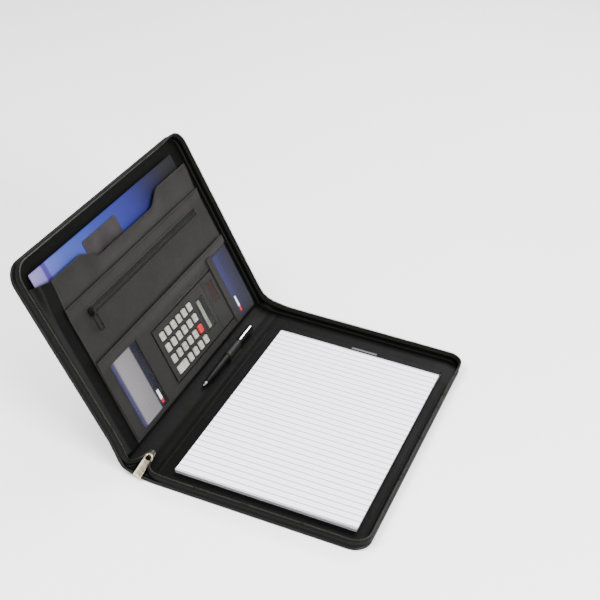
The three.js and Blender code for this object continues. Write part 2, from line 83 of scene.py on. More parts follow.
JOINTS = {joint["name"]: joint for joint in frame["joints"]}
PARENT = {joint["child"]: joint["parent"] for joint in frame["joints"]}
BACK_FOLD = Vector(JOINTS["back_fold"]["pos_m"])
FRONT_FOLD = Vector(JOINTS["front_fold"]["pos_m"])
UPWARDS = Vector(JOINTS["brochure_slide"]["axis"])
COVER_LOW, COVER_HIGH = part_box("back_cover")
NEAR = COVER_LOW.y
LENGTH = (COVER_HIGH.y - COVER_LOW.y) / MM
WIDTH = (COVER_HIGH.x - BACK_FOLD.x) / MM
SPINE = (FRONT_FOLD - BACK_FOLD).length / MM
MID_SPINE = -SPINE / 2
SPINE_RISE = math.atan2(FRONT_FOLD.z - BACK_FOLD.z, BACK_FOLD.x - FRONT_FOLD.x)
COVER_RISE = math.atan2(UPWARDS.z, -UPWARDS.x)
CORNER = 20

BACK_FRAME = Matrix.Translation((BACK_FOLD.x, NEAR, 0))
SPINE_FRAME = BACK_FRAME @ Matrix.Rotation(SPINE_RISE, 4, "Y")
FRONT_FRAME = (
    Matrix.Translation((FRONT_FOLD.x, NEAR, FRONT_FOLD.z))
    @ Matrix.Rotation(COVER_RISE, 4, "Y")
    @ Matrix.Translation((SPINE * MM, 0, 0))
)
FRAMES = {"back_half": BACK_FRAME, "spine": SPINE_FRAME, "front_half": FRONT_FRAME}


def frame_of(body):
    while body not in FRAMES:
        body = PARENT[body]
    return FRAMES[body]


def extent(node):
    """A CAD node's (lowest, highest) u, along and height, in millimetres."""
    obj = frame["nodes"][node]
    to_flat = frame_of(obj["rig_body"]).inverted()
    places = np.array([to_flat @ vertex.co for vertex in obj.data.vertices]) / MM
    return list(zip(places.min(0), places.max(0)))


def front(across):
    """The u of a place on the front half, from its distance to the front fold."""
    return -SPINE - across


def fronts(across):
    return [front(place) for place in across]


def span(node):
    """A front half node's (lowest, highest) distance across, along and height."""
    (low, high), along, height = extent(node)
    return (front(high), front(low)), along, height


def smooth_step(value):
    """0 up to 0, 1 from 1, and a soft rise between them."""
    value = np.clip(value, 0, 1)
    return value * value * (3 - 2 * value)


def turned(x, z, pivot, angle):
    dx = x - pivot
    return pivot + dx * np.cos(angle) + z * np.sin(angle), -dx * np.sin(angle) + z * np.cos(angle)


def bent(points, reach):
    """Unrolled points in the row frame, in metres, bent within reach of each fold."""
    u, along, height = np.array(points, float).T
    past_front = smooth_step((reach - (u + SPINE)) / (2 * reach))
    x, z = turned(u, height, -SPINE, (COVER_RISE - SPINE_RISE) * past_front)
    past_back = smooth_step((reach - u) / (2 * reach))
    x, z = turned(x, z, 0, SPINE_RISE * past_back)
    return np.stack([x * MM + BACK_FOLD.x, along * MM + NEAR, z * MM], 1)


# ------------------------------------------------------------------ outlines and profiles

STITCH_PITCH = 3.2
EDGE_STEPS = (0.12, 0.35, 0.7, 1.2, 2, 3.2)
CLOSEST_STOPS = 0.06


def spread(low, high, count):
    """Even steps from low to high."""
    return [low + (high - low) * i / count for i in range(count + 1)]


def stops(low, high, coarse, extra=()):
    """Grid stops from low to high, close together at both ends, with extra stops between."""
    found = [low, high]
    for step in EDGE_STEPS:
        if low + step < high - step:
            found += [low + step, high - step]
    inner_low, inner_high = low + EDGE_STEPS[-1], high - EDGE_STEPS[-1]
    found += spread(inner_low, inner_high, max(1, round((inner_high - inner_low) / coarse)))
    found += [stop for stop in extra if low < stop < high]
    kept = [low]
    for stop in sorted(found):
        if stop - kept[-1] > CLOSEST_STOPS:
            kept.append(stop)
    kept[-1] = high
    return kept


def around(place, fine=(0.15, 0.5, 1, 1.8)):
    """Extra stops on both sides of a line."""
    return [place] + [place - step for step in fine] + [place + step for step in fine]


def rounded(distance, radius):
    """How far a surface drops at a distance from its rounded edge."""
    if distance >= radius:
        return 0
    inside = radius - max(distance, 0)
    return radius - math.sqrt(max(radius * radius - inside * inside, 0))


def dip(distance, place, width, depth):
    """A soft groove at a place, as a stitch row or a seam presses it."""
    return depth * math.exp(-(((distance - place) / width) ** 2))


def ripple(u, along, scale, height, seed=0):
    """Soft unevenness of leather."""
    return height * noise.noise(Vector((u / scale, along / scale, seed)))


def arc(centre, radius, first, last, count):
    """Points on an arc between two angles in degrees."""
    angles = [math.radians(angle) for angle in spread(first, last, count)]
    return [(centre[0] + radius * math.cos(a), centre[1] + radius * math.sin(a)) for a in angles]


def rectangle(us, alongs, radius, steps=4, inset=0):
    """A rounded rectangle's points, of one count at every inset."""
    left, right = min(us) + inset, max(us) - inset
    low, high = min(alongs) + inset, max(alongs) - inset
    radius = min(max(radius - inset, 0.05), (right - left) / 2, (high - low) / 2)
    left, right, low, high = left + radius, right - radius, low + radius, high - radius
    points = []
    for first, centre in ((-90, (right, low)), (0, (right, high)), (90, (left, high)), (180, (left, low))):
        points += arc(centre, radius, first, first + 90, steps)
    return points


def ring(centre, side, above, count):
    """Points round an ellipse with the half axes side and above."""
    angles = [math.tau * (step + 0.5) / count for step in range(count)]
    return [centre + side * math.cos(angle) + above * math.sin(angle) for angle in angles]


def arch(centre, side, rise):
    """Half an ellipse that stands up over a centre."""
    angles = spread(0, math.pi, 8)
    return [Vector(centre) - Vector(side) * math.cos(angle) + UP * rise * math.sin(angle) for angle in angles]


def walk(path, pitch, closed=False):
    """(point, direction) at every pitch along a path."""
    points = [Vector(point) for point in path]
    if closed:
        points.append(points[0])
    spots, due = [], pitch / 2
    for a, b in zip(points, points[1:]):
        length = (b - a).length
        while due <= length:
            spots.append((a + (b - a) * (due / length), (b - a).normalized()))
            due += pitch
        due -= length
    return spots


# ------------------------------------------------------------------ mesh tools


class Shape:
    """Closed solids in unrolled millimetres, with a material number for each face."""

    def __init__(self):
        self.points = []
        self.faces = []
        self.paints = []

    def face(self, corners, paint=0):
        self.faces.append(tuple(corners))
        self.paints.append(paint)

    def loft(self, rings, paint=0, closed=False):
        """Joins rings of one even count of points. The ends are capped unless it's closed."""
        start, count = len(self.points), len(rings[0])
        self.points += [tuple(point) for points in rings for point in points]
        for row in range(len(rings) if closed else len(rings) - 1):
            here = start + row * count
            there = start + ((row + 1) % len(rings)) * count
            for i in range(count):
                j = (i + 1) % count
                self.face((here + i, here + j, there + j, there + i), paint)
        if closed:
            return
        for end in (start, start + (len(rings) - 1) * count):
            for i in range(count // 2 - 1):
                self.face((end + i, end + i + 1, end + count - 2 - i, end + count - 1 - i), paint)

    def sheet(self, us, alongs, top, bottom, place=lambda u, along: (u, along), keep=lambda u, along: True):
        """A closed sheet over a grid, with top and bottom heights at each (u, along). Cells
        that keep refuses are left open, and place moves grid points within the plane."""
        start, rows, columns = len(self.points), len(us) - 1, len(alongs) - 1
        for heights in (top, bottom):
            self.points += [(*place(u, along), heights(u, along)) for u in us for along in alongs]

        def kept(i, j):
            if not (0 <= i < rows and 0 <= j < columns):
                return False
            return keep((us[i] + us[i + 1]) / 2, (alongs[j] + alongs[j + 1]) / 2)

        def at(corner, side):
            return start + (side * (rows + 1) + corner[0]) * (columns + 1) + corner[1]

        for i, j in [(i, j) for i in range(rows) for j in range(columns) if kept(i, j)]:
            corners = [(i, j), (i + 1, j), (i + 1, j + 1), (i, j + 1)]
            self.face(at(corner, 0) for corner in corners)
            self.face(at(corner, 1) for corner in reversed(corners))
            beyond = [(i, j - 1), (i + 1, j), (i, j + 1), (i - 1, j)]
            for side, cell in enumerate(beyond):
                if not kept(*cell):
                    a, b = corners[side], corners[(side + 1) % 4]
                    self.face((at(b, 0), at(a, 0), at(a, 1), at(b, 1)))

    def cushion(self, us, alongs, radius, rings, paint=0, steps=4):
        """A rounded block lofted through (inset, height) rings."""
        outlines = [(rectangle(us, alongs, radius, steps, inset), height) for inset, height in rings]
        self.loft([[(x, y, height) for x, y in outline] for outline, height in outlines], paint)

    def block(self, us, alongs, radius, height, bevel, paint=0):
        """A block between two heights whose top and bottom edges are rounded too."""
        turns = spread(0, math.pi / 2, 2)
        profile = [(bevel * (1 - math.sin(turn)), bevel * (1 - math.cos(turn))) for turn in turns]
        rings = [(inset, height[0] + rise) for inset, rise in profile]
        rings += [(inset, height[1] - rise) for inset, rise in reversed(profile)]
        self.cushion(us, alongs, radius, rings, paint)

    def bead(self, centre, direction, size, paint, up=UP):
        """A small rounded grain, such as one stitch or one zip tooth. Its size is a length, a
        width and a depth."""
        length, width, depth = size
        side = direction.cross(up).normalized() * width / 2
        rings = []
        for share, fullness in ((-0.5, 0.35), (-0.3, 1), (0.3, 1), (0.5, 0.35)):
            middle = centre + direction * share * length
            rings.append(ring(middle, side * fullness, up * depth / 2 * fullness, 6))
        self.loft(rings, paint)

    def stitches(self, path, paint=1, closed=False, pitch=STITCH_PITCH, size=(0.7, 0.55, 0.45)):
        """A row of thread stitches, a little sunk into the leather under them. The size's
        length is a share of the pitch."""
        for place, direction in walk(path, pitch, closed):
            self.bead(place, direction, (pitch * size[0], size[1], size[2]), paint)

    def tube(self, path, radius, paint=0, closed=False, flat=1):
        """A round or flattened wire along a path."""
        points = [Vector(point) for point in path]
        rings = []
        for i, point in enumerate(points):
            before = points[i - 1] if i or closed else point
            after = points[(i + 1) % len(points)] if i + 1 < len(points) or closed else point
            forward = (after - before).normalized()
            side = forward.cross(UP)
            side = side.normalized() if side.length > 1e-6 else Vector((1, 0, 0))
            rings.append(ring(point, side * radius, side.cross(forward) * radius * flat, 8))
        self.loft(rings, paint, closed)

    def lathe(self, u, height, profile, paint=0):
        """A turned shape on an axis along the spine, through (along, radius) rows."""
        side = Vector((1, 0, 0))
        rows = [(Vector((u, along, height)), radius) for along, radius in profile]
        self.loft([ring(centre, side * radius, UP * radius, 24) for centre, radius in rows], paint)


def piece(name, shape, paints, slot, body, *replaces, reach=0, smooth=40):
    """Makes the object. Without a reach it rides on the body. With a reach, the body is a half,
    and the piece blends from it to the spine within that reach of the fold, but rides on no body."""
    mesh = bpy.data.meshes.new(name)
    places = bent(shape.points, reach) if reach else np.array(shape.points, float) * MM
    mesh.from_pydata([tuple(place) for place in places], [], shape.faces)
    mesh.polygons.foreach_set("material_index", shape.paints)
    for paint in paints:
        mesh.materials.append(paint)
    work = bmesh.new()
    work.from_mesh(mesh)
    bmesh.ops.delete(work, geom=[v for v in work.verts if not v.link_faces], context="VERTS")
    bmesh.ops.recalc_face_normals(work, faces=work.faces)
    work.to_mesh(mesh)
    work.free()
    mesh.polygons.foreach_set("use_smooth", [True] * len(mesh.polygons))
    mesh.set_sharp_from_angle(angle=math.radians(smooth))
    obj = bpy.data.objects.new(name, mesh)
    bpy.context.scene.collection.objects.link(obj)
    obj.modifiers.new("normals", "WEIGHTED_NORMAL").keep_sharp = True
    if reach:
        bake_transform(obj)
    else:
        obj.matrix_world = frame_of(body)
        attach(obj, body)
    if replaces:
        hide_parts(*replaces)


# ------------------------------------------------------------------ material tools


def linear(color):
    """A screen colour from 0 to 255 as linear light."""
    shares = [channel / 255 for channel in color]
    return [s / 12.92 if s <= 0.04045 else ((s + 0.055) / 1.055) ** 2.4 for s in shares]


class Nodes:
    """A short way to write one material's node tree."""

    def __init__(self, name):
        self.material = bpy.data.materials.new(name)
        self.material.use_nodes = True
        self.tree = self.material.node_tree
        self.place = self.add("TexCoord").outputs["Object"]

    def add(self, kind, settings=None, **inputs):
        """A new node. Its inputs go by name, or by i and a number."""
        node = self.tree.nodes.new("ShaderNode" + kind)
        for key, value in (settings or {}).items():
            setattr(node, key, value)
        for key, value in inputs.items():
            self.put(value, node.inputs[int(key[1:]) if key[1:].isdigit() else key])
        return node

    def put(self, value, socket):
        if isinstance(value, bpy.types.NodeSocket):
            self.tree.links.new(value, socket)
        else:
            socket.default_value = value

    def finish(self, color, roughness, normal=None, gloss=0.5, **more):
        """Sets the shader's sockets, and gives the material."""
        values = {"Base Color": color, "Roughness": roughness, "Specular IOR Level": gloss, **more}
        if normal:
            values["Normal"] = normal
        for name, value in values.items():
            self.put(value, self.tree.nodes["Principled BSDF"].inputs[name])
        return self.material

    def split(self):
        return self.add("SeparateXYZ", i0=self.place).outputs

    def noise(self, scale, detail=3.0, roughness=0.5, place=None):
        place = place or self.place
        node = self.add("TexNoise", Vector=place, Scale=scale, Detail=detail, Roughness=roughness)
        return node.outputs["Fac"]

    def math(self, operation, first, second=0.5):
        return self.add("Math", {"operation": operation}, i0=first, i1=second).outputs[0]

    def plus(self, first, second):
        return self.math("ADD", first, second)

    def times(self, first, second):
        return self.math("MULTIPLY", first, second)

    def waves(self, value, pitch):
        return self.math("SINE", self.times(value, math.tau / pitch))

    def stripes(self, value, pitch):
        """0 at the middle of each stripe, up to 0.5 at the lines between them."""
        turns = self.math("FRACT", self.math("DIVIDE", value, pitch))
        return self.math("ABSOLUTE", self.math("SUBTRACT", turns, 0.5))

    def ramp(self, value, colors):
        """A colour ramp through (place, colour) rows."""
        node = self.add("ValToRGB", i0=value)
        elements = node.color_ramp.elements
        elements[0].position, elements[1].position = colors[0][0], colors[-1][0]
        for place, _ in colors[1:-1]:
            elements.new(place)
        for element, (_, color) in zip(elements, colors):
            element.color = (*linear(color), 1)
        return node.outputs["Color"]

    def levels(self, value, low, high, to_low=0.0, to_high=1.0):
        return self.add("MapRange", i0=value, i1=low, i2=high, i3=to_low, i4=to_high).outputs[0]

    def tint(self, share, base, color):
        """The base with a share of one colour over it."""
        over = (*linear(color), 1)
        return self.add("Mix", {"data_type": "RGBA"}, i0=share, i6=base, i7=over).outputs[2]

    def bump(self, height, strength, distance, **under):
        node = self.add("Bump", Height=height, Strength=strength, Distance=distance, **under)
        return node.outputs["Normal"]


def leather(name, dark, light, roughness, grain, bump, gloss):
    """Grained leather: pebbled cells, fine pores, soft clouding, and rubbed edges lightened as wear and as a
    painted highlight.
    """
    nodes = Nodes(name)
    clouds = nodes.noise(22, 4, 0.55)
    cells = nodes.add("TexVoronoi", {"feature": "SMOOTH_F1"}, Vector=nodes.place, Scale=grain)
    pebbles = cells.outputs["Distance"]
    pores = nodes.noise(grain * 3.1, 3, 0.6)
    creases = nodes.noise(170, 5, 0.6)
    tone = nodes.plus(nodes.times(clouds, 0.6), nodes.times(creases, 0.4))
    base = nodes.ramp(tone, [(0.25, dark), (0.75, light)])
    valleys = nodes.levels(pebbles, 0.55, 0.1, 0.55, 0)
    shaded = nodes.tint(valleys, base, [c * 0.6 for c in dark])
    edges = nodes.add("NewGeometry").outputs["Pointiness"]
    # Sharp edges are lightened: partly rubbed wear, partly a painted highlight.
    wear_and_highlight = nodes.levels(edges, 0.53, 0.62, 0, 0.35)
    color = nodes.tint(wear_and_highlight, shaded, [min(c * 1.7 + 12, 255) for c in light])
    rough = nodes.levels(clouds, 0.3, 0.7, roughness - 0.02, roughness + 0.04)
    height = nodes.plus(nodes.times(pebbles, -1.0), nodes.times(pores, 0.35))
    fine = nodes.bump(height, bump, 0.00025)
    coarse = nodes.bump(creases, bump * 0.6, 0.0006, Normal=fine)
    return nodes.finish(color, rough, coarse, gloss)


def woven(name, dark, light, pitch=0.00045):
    """A tight woven tape or thread."""
    nodes = Nodes(name)
    first, second, third = [nodes.waves(axis, pitch) for axis in nodes.split()]
    weave = nodes.plus(nodes.times(first, second), third)
    tone = nodes.plus(nodes.times(weave, 0.18), nodes.noise(900, 2))
    color = nodes.ramp(tone, [(0.2, dark), (0.9, light)])
    return nodes.finish(color, 0.82, nodes.bump(weave, 0.6, 0.00012), 0.1)


def plastic(name, dark, light, roughness, texture=2600, bump=0.25, gloss=0.25):
    """Moulded plastic with a fine spark-eroded texture and faint handling marks."""
    nodes = Nodes(name)
    marks = nodes.noise(60, 4, 0.6)
    color = nodes.ramp(marks, [(0.3, dark), (0.75, light)])
    rough = nodes.levels(marks, 0.3, 0.7, roughness - 0.07, roughness + 0.1)
    return nodes.finish(color, rough, nodes.bump(nodes.noise(texture, 2), bump, 0.00008), gloss)


def ink(name, dark, light):
    return plastic(name, dark, light, 0.5, 900, 0.05)


def metal(name, color, roughness, brushed=0.0):
    """Metal with brush lines across it and slightly uneven polish."""
    nodes = Nodes(name)
    lines = nodes.add("Mapping", Vector=nodes.place, Scale=(4000, 250, 250)).outputs[0]
    scratches = nodes.noise(1.0, 3, 0.7, lines)
    haze = nodes.noise(240, 3)
    base = nodes.ramp(haze, [(0.3, [c * 0.86 for c in color]), (0.7, color)])
    rough = nodes.levels(nodes.plus(scratches, haze), 0.6, 1.4, roughness - 0.06, roughness + 0.12)
    return nodes.finish(base, rough, nodes.bump(scratches, 0.1 + brushed, 0.00003), Metallic=1.0)


def board():
    nodes = Nodes("grey board")
    fibres = nodes.noise(700, 5, 0.7)
    color = nodes.ramp(fibres, [(0.3, (112, 106, 96)), (0.7, (158, 151, 139))])
    return nodes.finish(color, 0.9, nodes.bump(fibres, 0.4, 0.0002))


def ruled_paper(pitch=9.2, line_width=0.085):
    """White paper with pale rules across it, and a faint fibre."""
    nodes = Nodes("ruled paper")
    from_line = nodes.stripes(nodes.split()[1], pitch * MM)
    rule = nodes.levels(from_line, line_width, line_width * 0.45, 0, 1.0)
    fibres = nodes.noise(480, 5, 0.65)
    base = nodes.ramp(fibres, [(0.3, (232, 227, 238)), (0.7, (245, 240, 249))])
    color = nodes.tint(rule, base, (112, 108, 128))
    return nodes.finish(color, 0.78, nodes.bump(fibres, 0.12, 0.00008))


def stacked_paper(sheet_pitch=0.28):
    """The cut edges of a block of white sheets, coloured grey as painted shade."""
    nodes = Nodes("sheet edges in painted shade")
    layers = nodes.waves(nodes.split()[2], sheet_pitch * MM)
    tone = nodes.plus(nodes.times(layers, 0.3), nodes.noise(900, 3))
    color = nodes.ramp(tone, [(0.15, (52, 51, 55)), (0.85, (122, 120, 126))])
    return nodes.finish(color, 0.85, nodes.bump(layers, 0.5, 0.0001))


def bands(name, bands_along, across_shade=None):
    """Colour bands at places along the spine, in millimetres, with soft edges: coated print, with painted
    shade and a painted reflection in some cards' bands. The painted shade across is (from u, to u, colour,
    share)."""
    nodes = Nodes(name)
    u, along, _ = nodes.split()
    low, high = bands_along[0][0], bands_along[-1][0]
    wobble = nodes.times(nodes.math("SUBTRACT", nodes.noise(14, 2), 0.5), 0.012)
    place = nodes.plus(nodes.levels(along, low * MM, high * MM), wobble)
    color = nodes.ramp(place, [((where - low) / (high - low), tint) for where, tint in bands_along])
    if across_shade:
        from_u, to_u, shade, share = across_shade
        color = nodes.tint(nodes.levels(u, from_u * MM, to_u * MM, 0, share), color, shade)
    return nodes.finish(color, 0.5, nodes.bump(nodes.noise(1400, 2), 0.02, 0.00004), 0.14)


def clear_film():
    nodes = Nodes("clear film")
    waves = nodes.bump(nodes.noise(30, 1), 0.1, 0.001)
    return nodes.finish((0.01, 0.01, 0.012, 1), 0.3, waves, 0.12, Alpha=0.05)


def liquid_crystal():
    """A grey-green display behind glass, with faint unlit segments."""
    nodes = Nodes("liquid crystal")
    faint = nodes.levels(nodes.stripes(nodes.split()[0], 4.4 * MM), 0.46, 0.5, 0, 0.18)
    glass = nodes.ramp(nodes.noise(90, 2), [(0.3, (76, 81, 72)), (0.7, (94, 99, 88))])
    return nodes.finish(nodes.tint(faint, glass, (54, 58, 50)), 0.2, gloss=0.2)


def solar_cell():
    nodes = Nodes("solar cell")
    line = nodes.levels(nodes.stripes(nodes.split()[0], 5.2 * MM), 0.47, 0.49)
    cell = nodes.ramp(nodes.noise(400, 3), [(0.3, (24, 14, 12)), (0.7, (31, 19, 16))])
    return nodes.finish(nodes.tint(line, cell, (34, 27, 25)), 0.25, gloss=0.15)


# ------------------------------------------------------------------ materials

OUTER = leather("outer leather", (9, 12, 15), (15, 20, 24), 0.4, 1500, 0.35, 0.13)
EDGE = leather("edge leather", (7, 8, 8), (14, 15, 15), 0.42, 1500, 0.35, 0.1)
INNER = leather("lining leather", (3, 3, 3), (7, 7, 6), 0.45, 1700, 0.4, 0.042)
# The organiser leather is coloured lighter than the lining leather; part of that is painted light, as the
# raised half faces the light.
LIT_PANEL = leather("organiser leather with painted light", (18, 17, 16), (27, 26, 24), 0.42, 1700, 0.42, 0.12)
THREAD = woven("thread", (12, 12, 11), (36, 35, 33), 0.0003)
OUTER_THREAD = woven("outer thread", (8, 10, 12), (30, 34, 38), 0.0003)
TAPE = woven("zip tape", (4, 4, 4), (14, 14, 13))
TEETH = plastic("zip teeth", (26, 25, 23), (38, 36, 33), 0.3, 1800, 0.1)
COIL = plastic("zip coil", (6, 6, 6), (14, 14, 13), 0.35, 1800, 0.1)
SATIN = metal("satin nickel", (176, 164, 142), 0.28, 0.15)
PEWTER = metal("old pewter", (98, 96, 82), 0.3, 0.1)
DARK_METAL = metal("black lacquered zinc", (20, 20, 21), 0.33)
GUNMETAL = metal("gunmetal", (120, 121, 124), 0.32, 0.1)
CHROME = metal("bright chrome", (232, 232, 234), 0.25)
CASE_PLASTIC = plastic("calculator plastic", (13, 13, 12), (21, 20, 19), 0.45, gloss=0.15)
BEZEL = plastic("bezel plastic", (4, 4, 4), (10, 10, 10), 0.25)
KEY_PLASTIC = plastic("key plastic", (108, 107, 100), (136, 134, 126), 0.42, 3200, 0.15)
RED_PLASTIC = plastic("red key plastic", (128, 14, 14), (152, 24, 22), 0.4, 3200, 0.15)
KEY_INK = plastic("key ink", (38, 38, 38), (58, 58, 58), 0.5)
LACQUER = plastic("pen lacquer", (4, 4, 5), (9, 9, 9), 0.42, 900, 0.05, 0.1)
TAB_CARD = plastic("dark tab", (19, 15, 17), (30, 25, 27), 0.45, 900, 0.1)
WHITE_INK = ink("white ink", (176, 176, 178), (196, 196, 197))
RED_INK = ink("red ink", (128, 16, 14), (150, 24, 20))
GREY_INK = ink("grey ink", (64, 64, 68), (80, 80, 84))
BOARD = board()
RULED = ruled_paper()
SHADED_STACK = stacked_paper()
FILM = clear_film()
LCD = liquid_crystal()
SOLAR = solar_cell()

BROCHURE_BANDS = [
    (17, (96, 88, 124)), (38, (80, 76, 124)), (40, (46, 36, 94)), (46, (46, 36, 94)),
    (48, (58, 64, 122)), (80, (41, 52, 110)), (150, (26, 35, 96)), (215, (20, 23, 80)),
    (262, (12, 13, 42)), (300, (9, 9, 18)), (333, (5, 5, 8)),
]
# The business card's bands: from along 50 to 57 its near edge is darkened as painted shade; from 60 on come
# the white card and its dark printed strip.
CARD_BANDS_WITH_SHADE = [
    (50, (22, 20, 42)), (57, (44, 42, 66)), (60, (94, 92, 94)), (91, (84, 82, 84)),
    (93.5, (9, 11, 24)), (106, (5, 6, 12)),
]
# The slot cards' blue-violet colour, darkening towards the far end, is a painted reflection of light on the
# slots; the shade across them, darker towards the fold, is painted shade.
SLOT_SHEEN_BANDS = [(289, (30, 28, 68)), (310, (24, 23, 54)), (330, (14, 15, 33)), (345, (10, 11, 23))]
BROCHURE_PRINT = bands("folder print", BROCHURE_BANDS)
CARD_PRINT_AND_SHADE = bands("business card print and shade", CARD_BANDS_WITH_SHADE)
SLOT_PAINTED_LIGHT = bands("slot card painted light", SLOT_SHEEN_BANDS, (front(52), front(14), (12, 13, 25), 0.85))

# ------------------------------------------------------------------ outlines of one half

OUTLINE_STEP = 6
CORNER_STEPS = 8


class Half:
    """One half of the case."""

    def __init__(self, name):
        self.name = name
        self.is_back = name == "back"
        self.body = f"{name}_half"
        self.sign = 1 if self.is_back else -1

    def u(self, across):
        return across if self.is_back else front(across)

    def lift_near(self, across):
        """The near edge bows a little where the raised half is held open."""
        if self.is_back:
            return 0
        share = (across - 40) / (WIDTH - 40)
        fade = smooth_step(across / 40) * (1 - 0.45 * smooth_step((across - 225) / 28))
        return fade * (2.6 - 7.0 * share)

    def edge(self, across, inset=0):
        """The along of the near and far outline at one place across."""
        rise = rounded(WIDTH - inset - across, CORNER - inset)
        return inset + rise + self.lift_near(across), LENGTH - inset - rise

    def along(self, across, share, inset):
        """A place between the near and far outline. The share runs from 0 to LENGTH."""
        near, far = self.edge(across, inset)
        return near + (far - near) * share / LENGTH

    def rim_distance(self, across, share, inset):
        near, far = self.edge(across, inset)
        along = self.along(across, share, inset)
        return min(along - near, far - along, WIDTH - inset - across)

    def outline(self, inset, start=MID_SPINE):
        """(across, along, outward) places round the half, from the near end to the far end."""
        radius, centre = CORNER - inset, WIDTH - CORNER
        runs = spread(start, centre, round((centre - start) / OUTLINE_STEP))[:-1]
        side_count = round((LENGTH - 2 * CORNER) / OUTLINE_STEP)
        side = spread(CORNER, LENGTH - CORNER, side_count)[1:-1]

        def corner(first, along):
            ways = arc((0, 0), 1, first, first + 90, CORNER_STEPS)
            return [(centre + radius * x, along + radius * y, (x, y)) for x, y in ways]

        places = [(across, inset, (0, -1)) for across in runs]
        places += corner(-90, CORNER)
        places += [(WIDTH - inset, along, (1, 0)) for along in side]
        places += corner(0, LENGTH - CORNER)
        places += [(across, LENGTH - inset, (0, 1)) for across in reversed(runs)]
        return [(a, y + self.lift_near(a) * (1 - smooth_step(y / 60)), way) for a, y, way in places]


BACK, FRONT = Half("back"), Half("front")
HALVES = (BACK, FRONT)
SKIN_REACH = 2.5
WALL_REACH = 14.5
LINING_REACH = 7


def skin(half, low, high, inset, top, bottom, extra_across, extra_shares=()):
    """A leather sheet over a half, fitted to its rounded outline."""
    acrosses, shares = stops(low, high, 9, extra_across), stops(0, LENGTH, 9, extra_shares)
    shape = Shape()
    shape.sheet(acrosses, shares, top, bottom, lambda a, s: (half.u(a), half.along(a, s, inset)))
    return shape


# ------------------------------------------------------------------ outer leather

COVER_THICKNESS = 1.2
COVER_INSET = 1
SEAM = span("front_edge_strip")[0][0]
SEAM_GAP = 0.15
SEAM_STITCHES = SEAM - 4.3
RIM_STITCHES = 4.4
STITCH_LEVEL = 0.12
COVER_SEEDS = {"back": 3, "front": 5}


def fold_round(across):
    """How far the leather is drawn inwards at a fold, which rounds the spine's edges."""
    return dip(across, 0, 4.5, 1.4)


def soft_relief(half, across, share):
    """The outer face sinks at its rim, and rises and falls a little everywhere."""
    sunk = 0.55 * math.exp(-max(half.rim_distance(across, share, COVER_INSET), 0) / 1.6)
    return 0.06 + sunk + fold_round(across) + ripple(across, share, 42, 0.06, COVER_SEEDS[half.name])


def seam_relief(half, across, share):
    """The main leather of the front half ends in a stitched valley and a ridge."""
    change = dip(across, SEAM_STITCHES, 0.8, 0.22) - dip(across, SEAM - 1.4, 1.7, 0.5)
    return soft_relief(half, across, share) + change + rounded(SEAM - across, 0.55)


def strip_relief(half, across, share):
    """The strip starts under the main leather's ridge."""
    fade = 0.3 * math.exp(-(across - SEAM) / 3)
    return soft_relief(half, across, share) + rounded(across - SEAM - SEAM_GAP, 0.5) + fade


def cover(half, low, high, relief):
    """A leather face. The relief is how far its outer surface lies inwards of height 0."""
    folds = [0]
    for step in (0.8, 1.6, 2.5, 3.5, 5, 7, 10):
        folds += [step, -step]
    corner = [WIDTH - CORNER + CORNER * math.sin(math.radians(angle)) for angle in range(0, 90, 10)]
    inside = lambda a, s: COVER_THICKNESS + fold_round(a)
    outside = lambda a, s: relief(half, a, s)
    return skin(half, low, high, COVER_INSET, inside, outside, folds + corner)


def binding(half):
    """The rolled edge of the cover."""
    rings = []
    for across, along, (x, y) in half.outline(1.4):
        centre = Vector((half.u(across), along, 1.95 + fold_round(across) * 0.6))
        rings.append(ring(centre, Vector((half.sign * x, y, 0)) * 1.3, UP * 1.85, 10))
    return rings


def add_outer_leather():
    covers = ((BACK, WIDTH - COVER_INSET, soft_relief), (FRONT, SEAM - 0.1, seam_relief))
    for half, end, relief in covers:
        shape = cover(half, MID_SPINE, end, relief)
        shape.loft(binding(half), 2)
        rim = half.outline(RIM_STITCHES, MID_SPINE + 1)
        shape.stitches([(half.u(across), along, STITCH_LEVEL) for across, along, _ in rim])
        if half is FRONT:
            u, start = front(SEAM_STITCHES), half.edge(SEAM_STITCHES)[0] + 6
            shape.stitches([(u, start, STITCH_LEVEL), (u, LENGTH - 6, STITCH_LEVEL)])
        nodes = f"{half.name}_cover", "spine_cover"
        paints = [OUTER, OUTER_THREAD, EDGE]
        piece(f"{half.name}_leather", shape, paints, "leather_outer", half.body, *nodes, reach=SKIN_REACH)
    strip = cover(FRONT, SEAM + SEAM_GAP, WIDTH - COVER_INSET, strip_relief)
    piece("front_strip_leather", strip, [OUTER], "leather_outer", "front_half", "front_edge_strip")


# ------------------------------------------------------------------ lining

LINING_INSET = 3.1
LINING_TOP = 3.9
SPINE_LINING_TOP = 1.75
LINING_THICKNESS = 0.45
COVE = 2.2


def add_lining(half):
    def top(across, share):
        """The lining steps up from the spine to the board, and curves up into the wall."""
        step = (LINING_TOP - SPINE_LINING_TOP) * smooth_step((across + 12) / 12)
        cove = rounded(half.rim_distance(across, share, LINING_INSET), COVE)
        return SPINE_LINING_TOP + step + cove + ripple(across, share, 34, 0.24, 9)

    shape = skin(
        half, MID_SPINE, WIDTH - LINING_INSET, LINING_INSET, top, lambda a, s: top(a, s) - LINING_THICKNESS,
        list(range(-14, 12)) + around(WIDTH - 8), around(LENGTH - 5) + around(5),
    )
    name = f"{half.name}_lining"
    piece(f"{name}_leather", shape, [INNER], "leather_inner", half.body, name, reach=LINING_REACH)


# ------------------------------------------------------------------ walls and zip

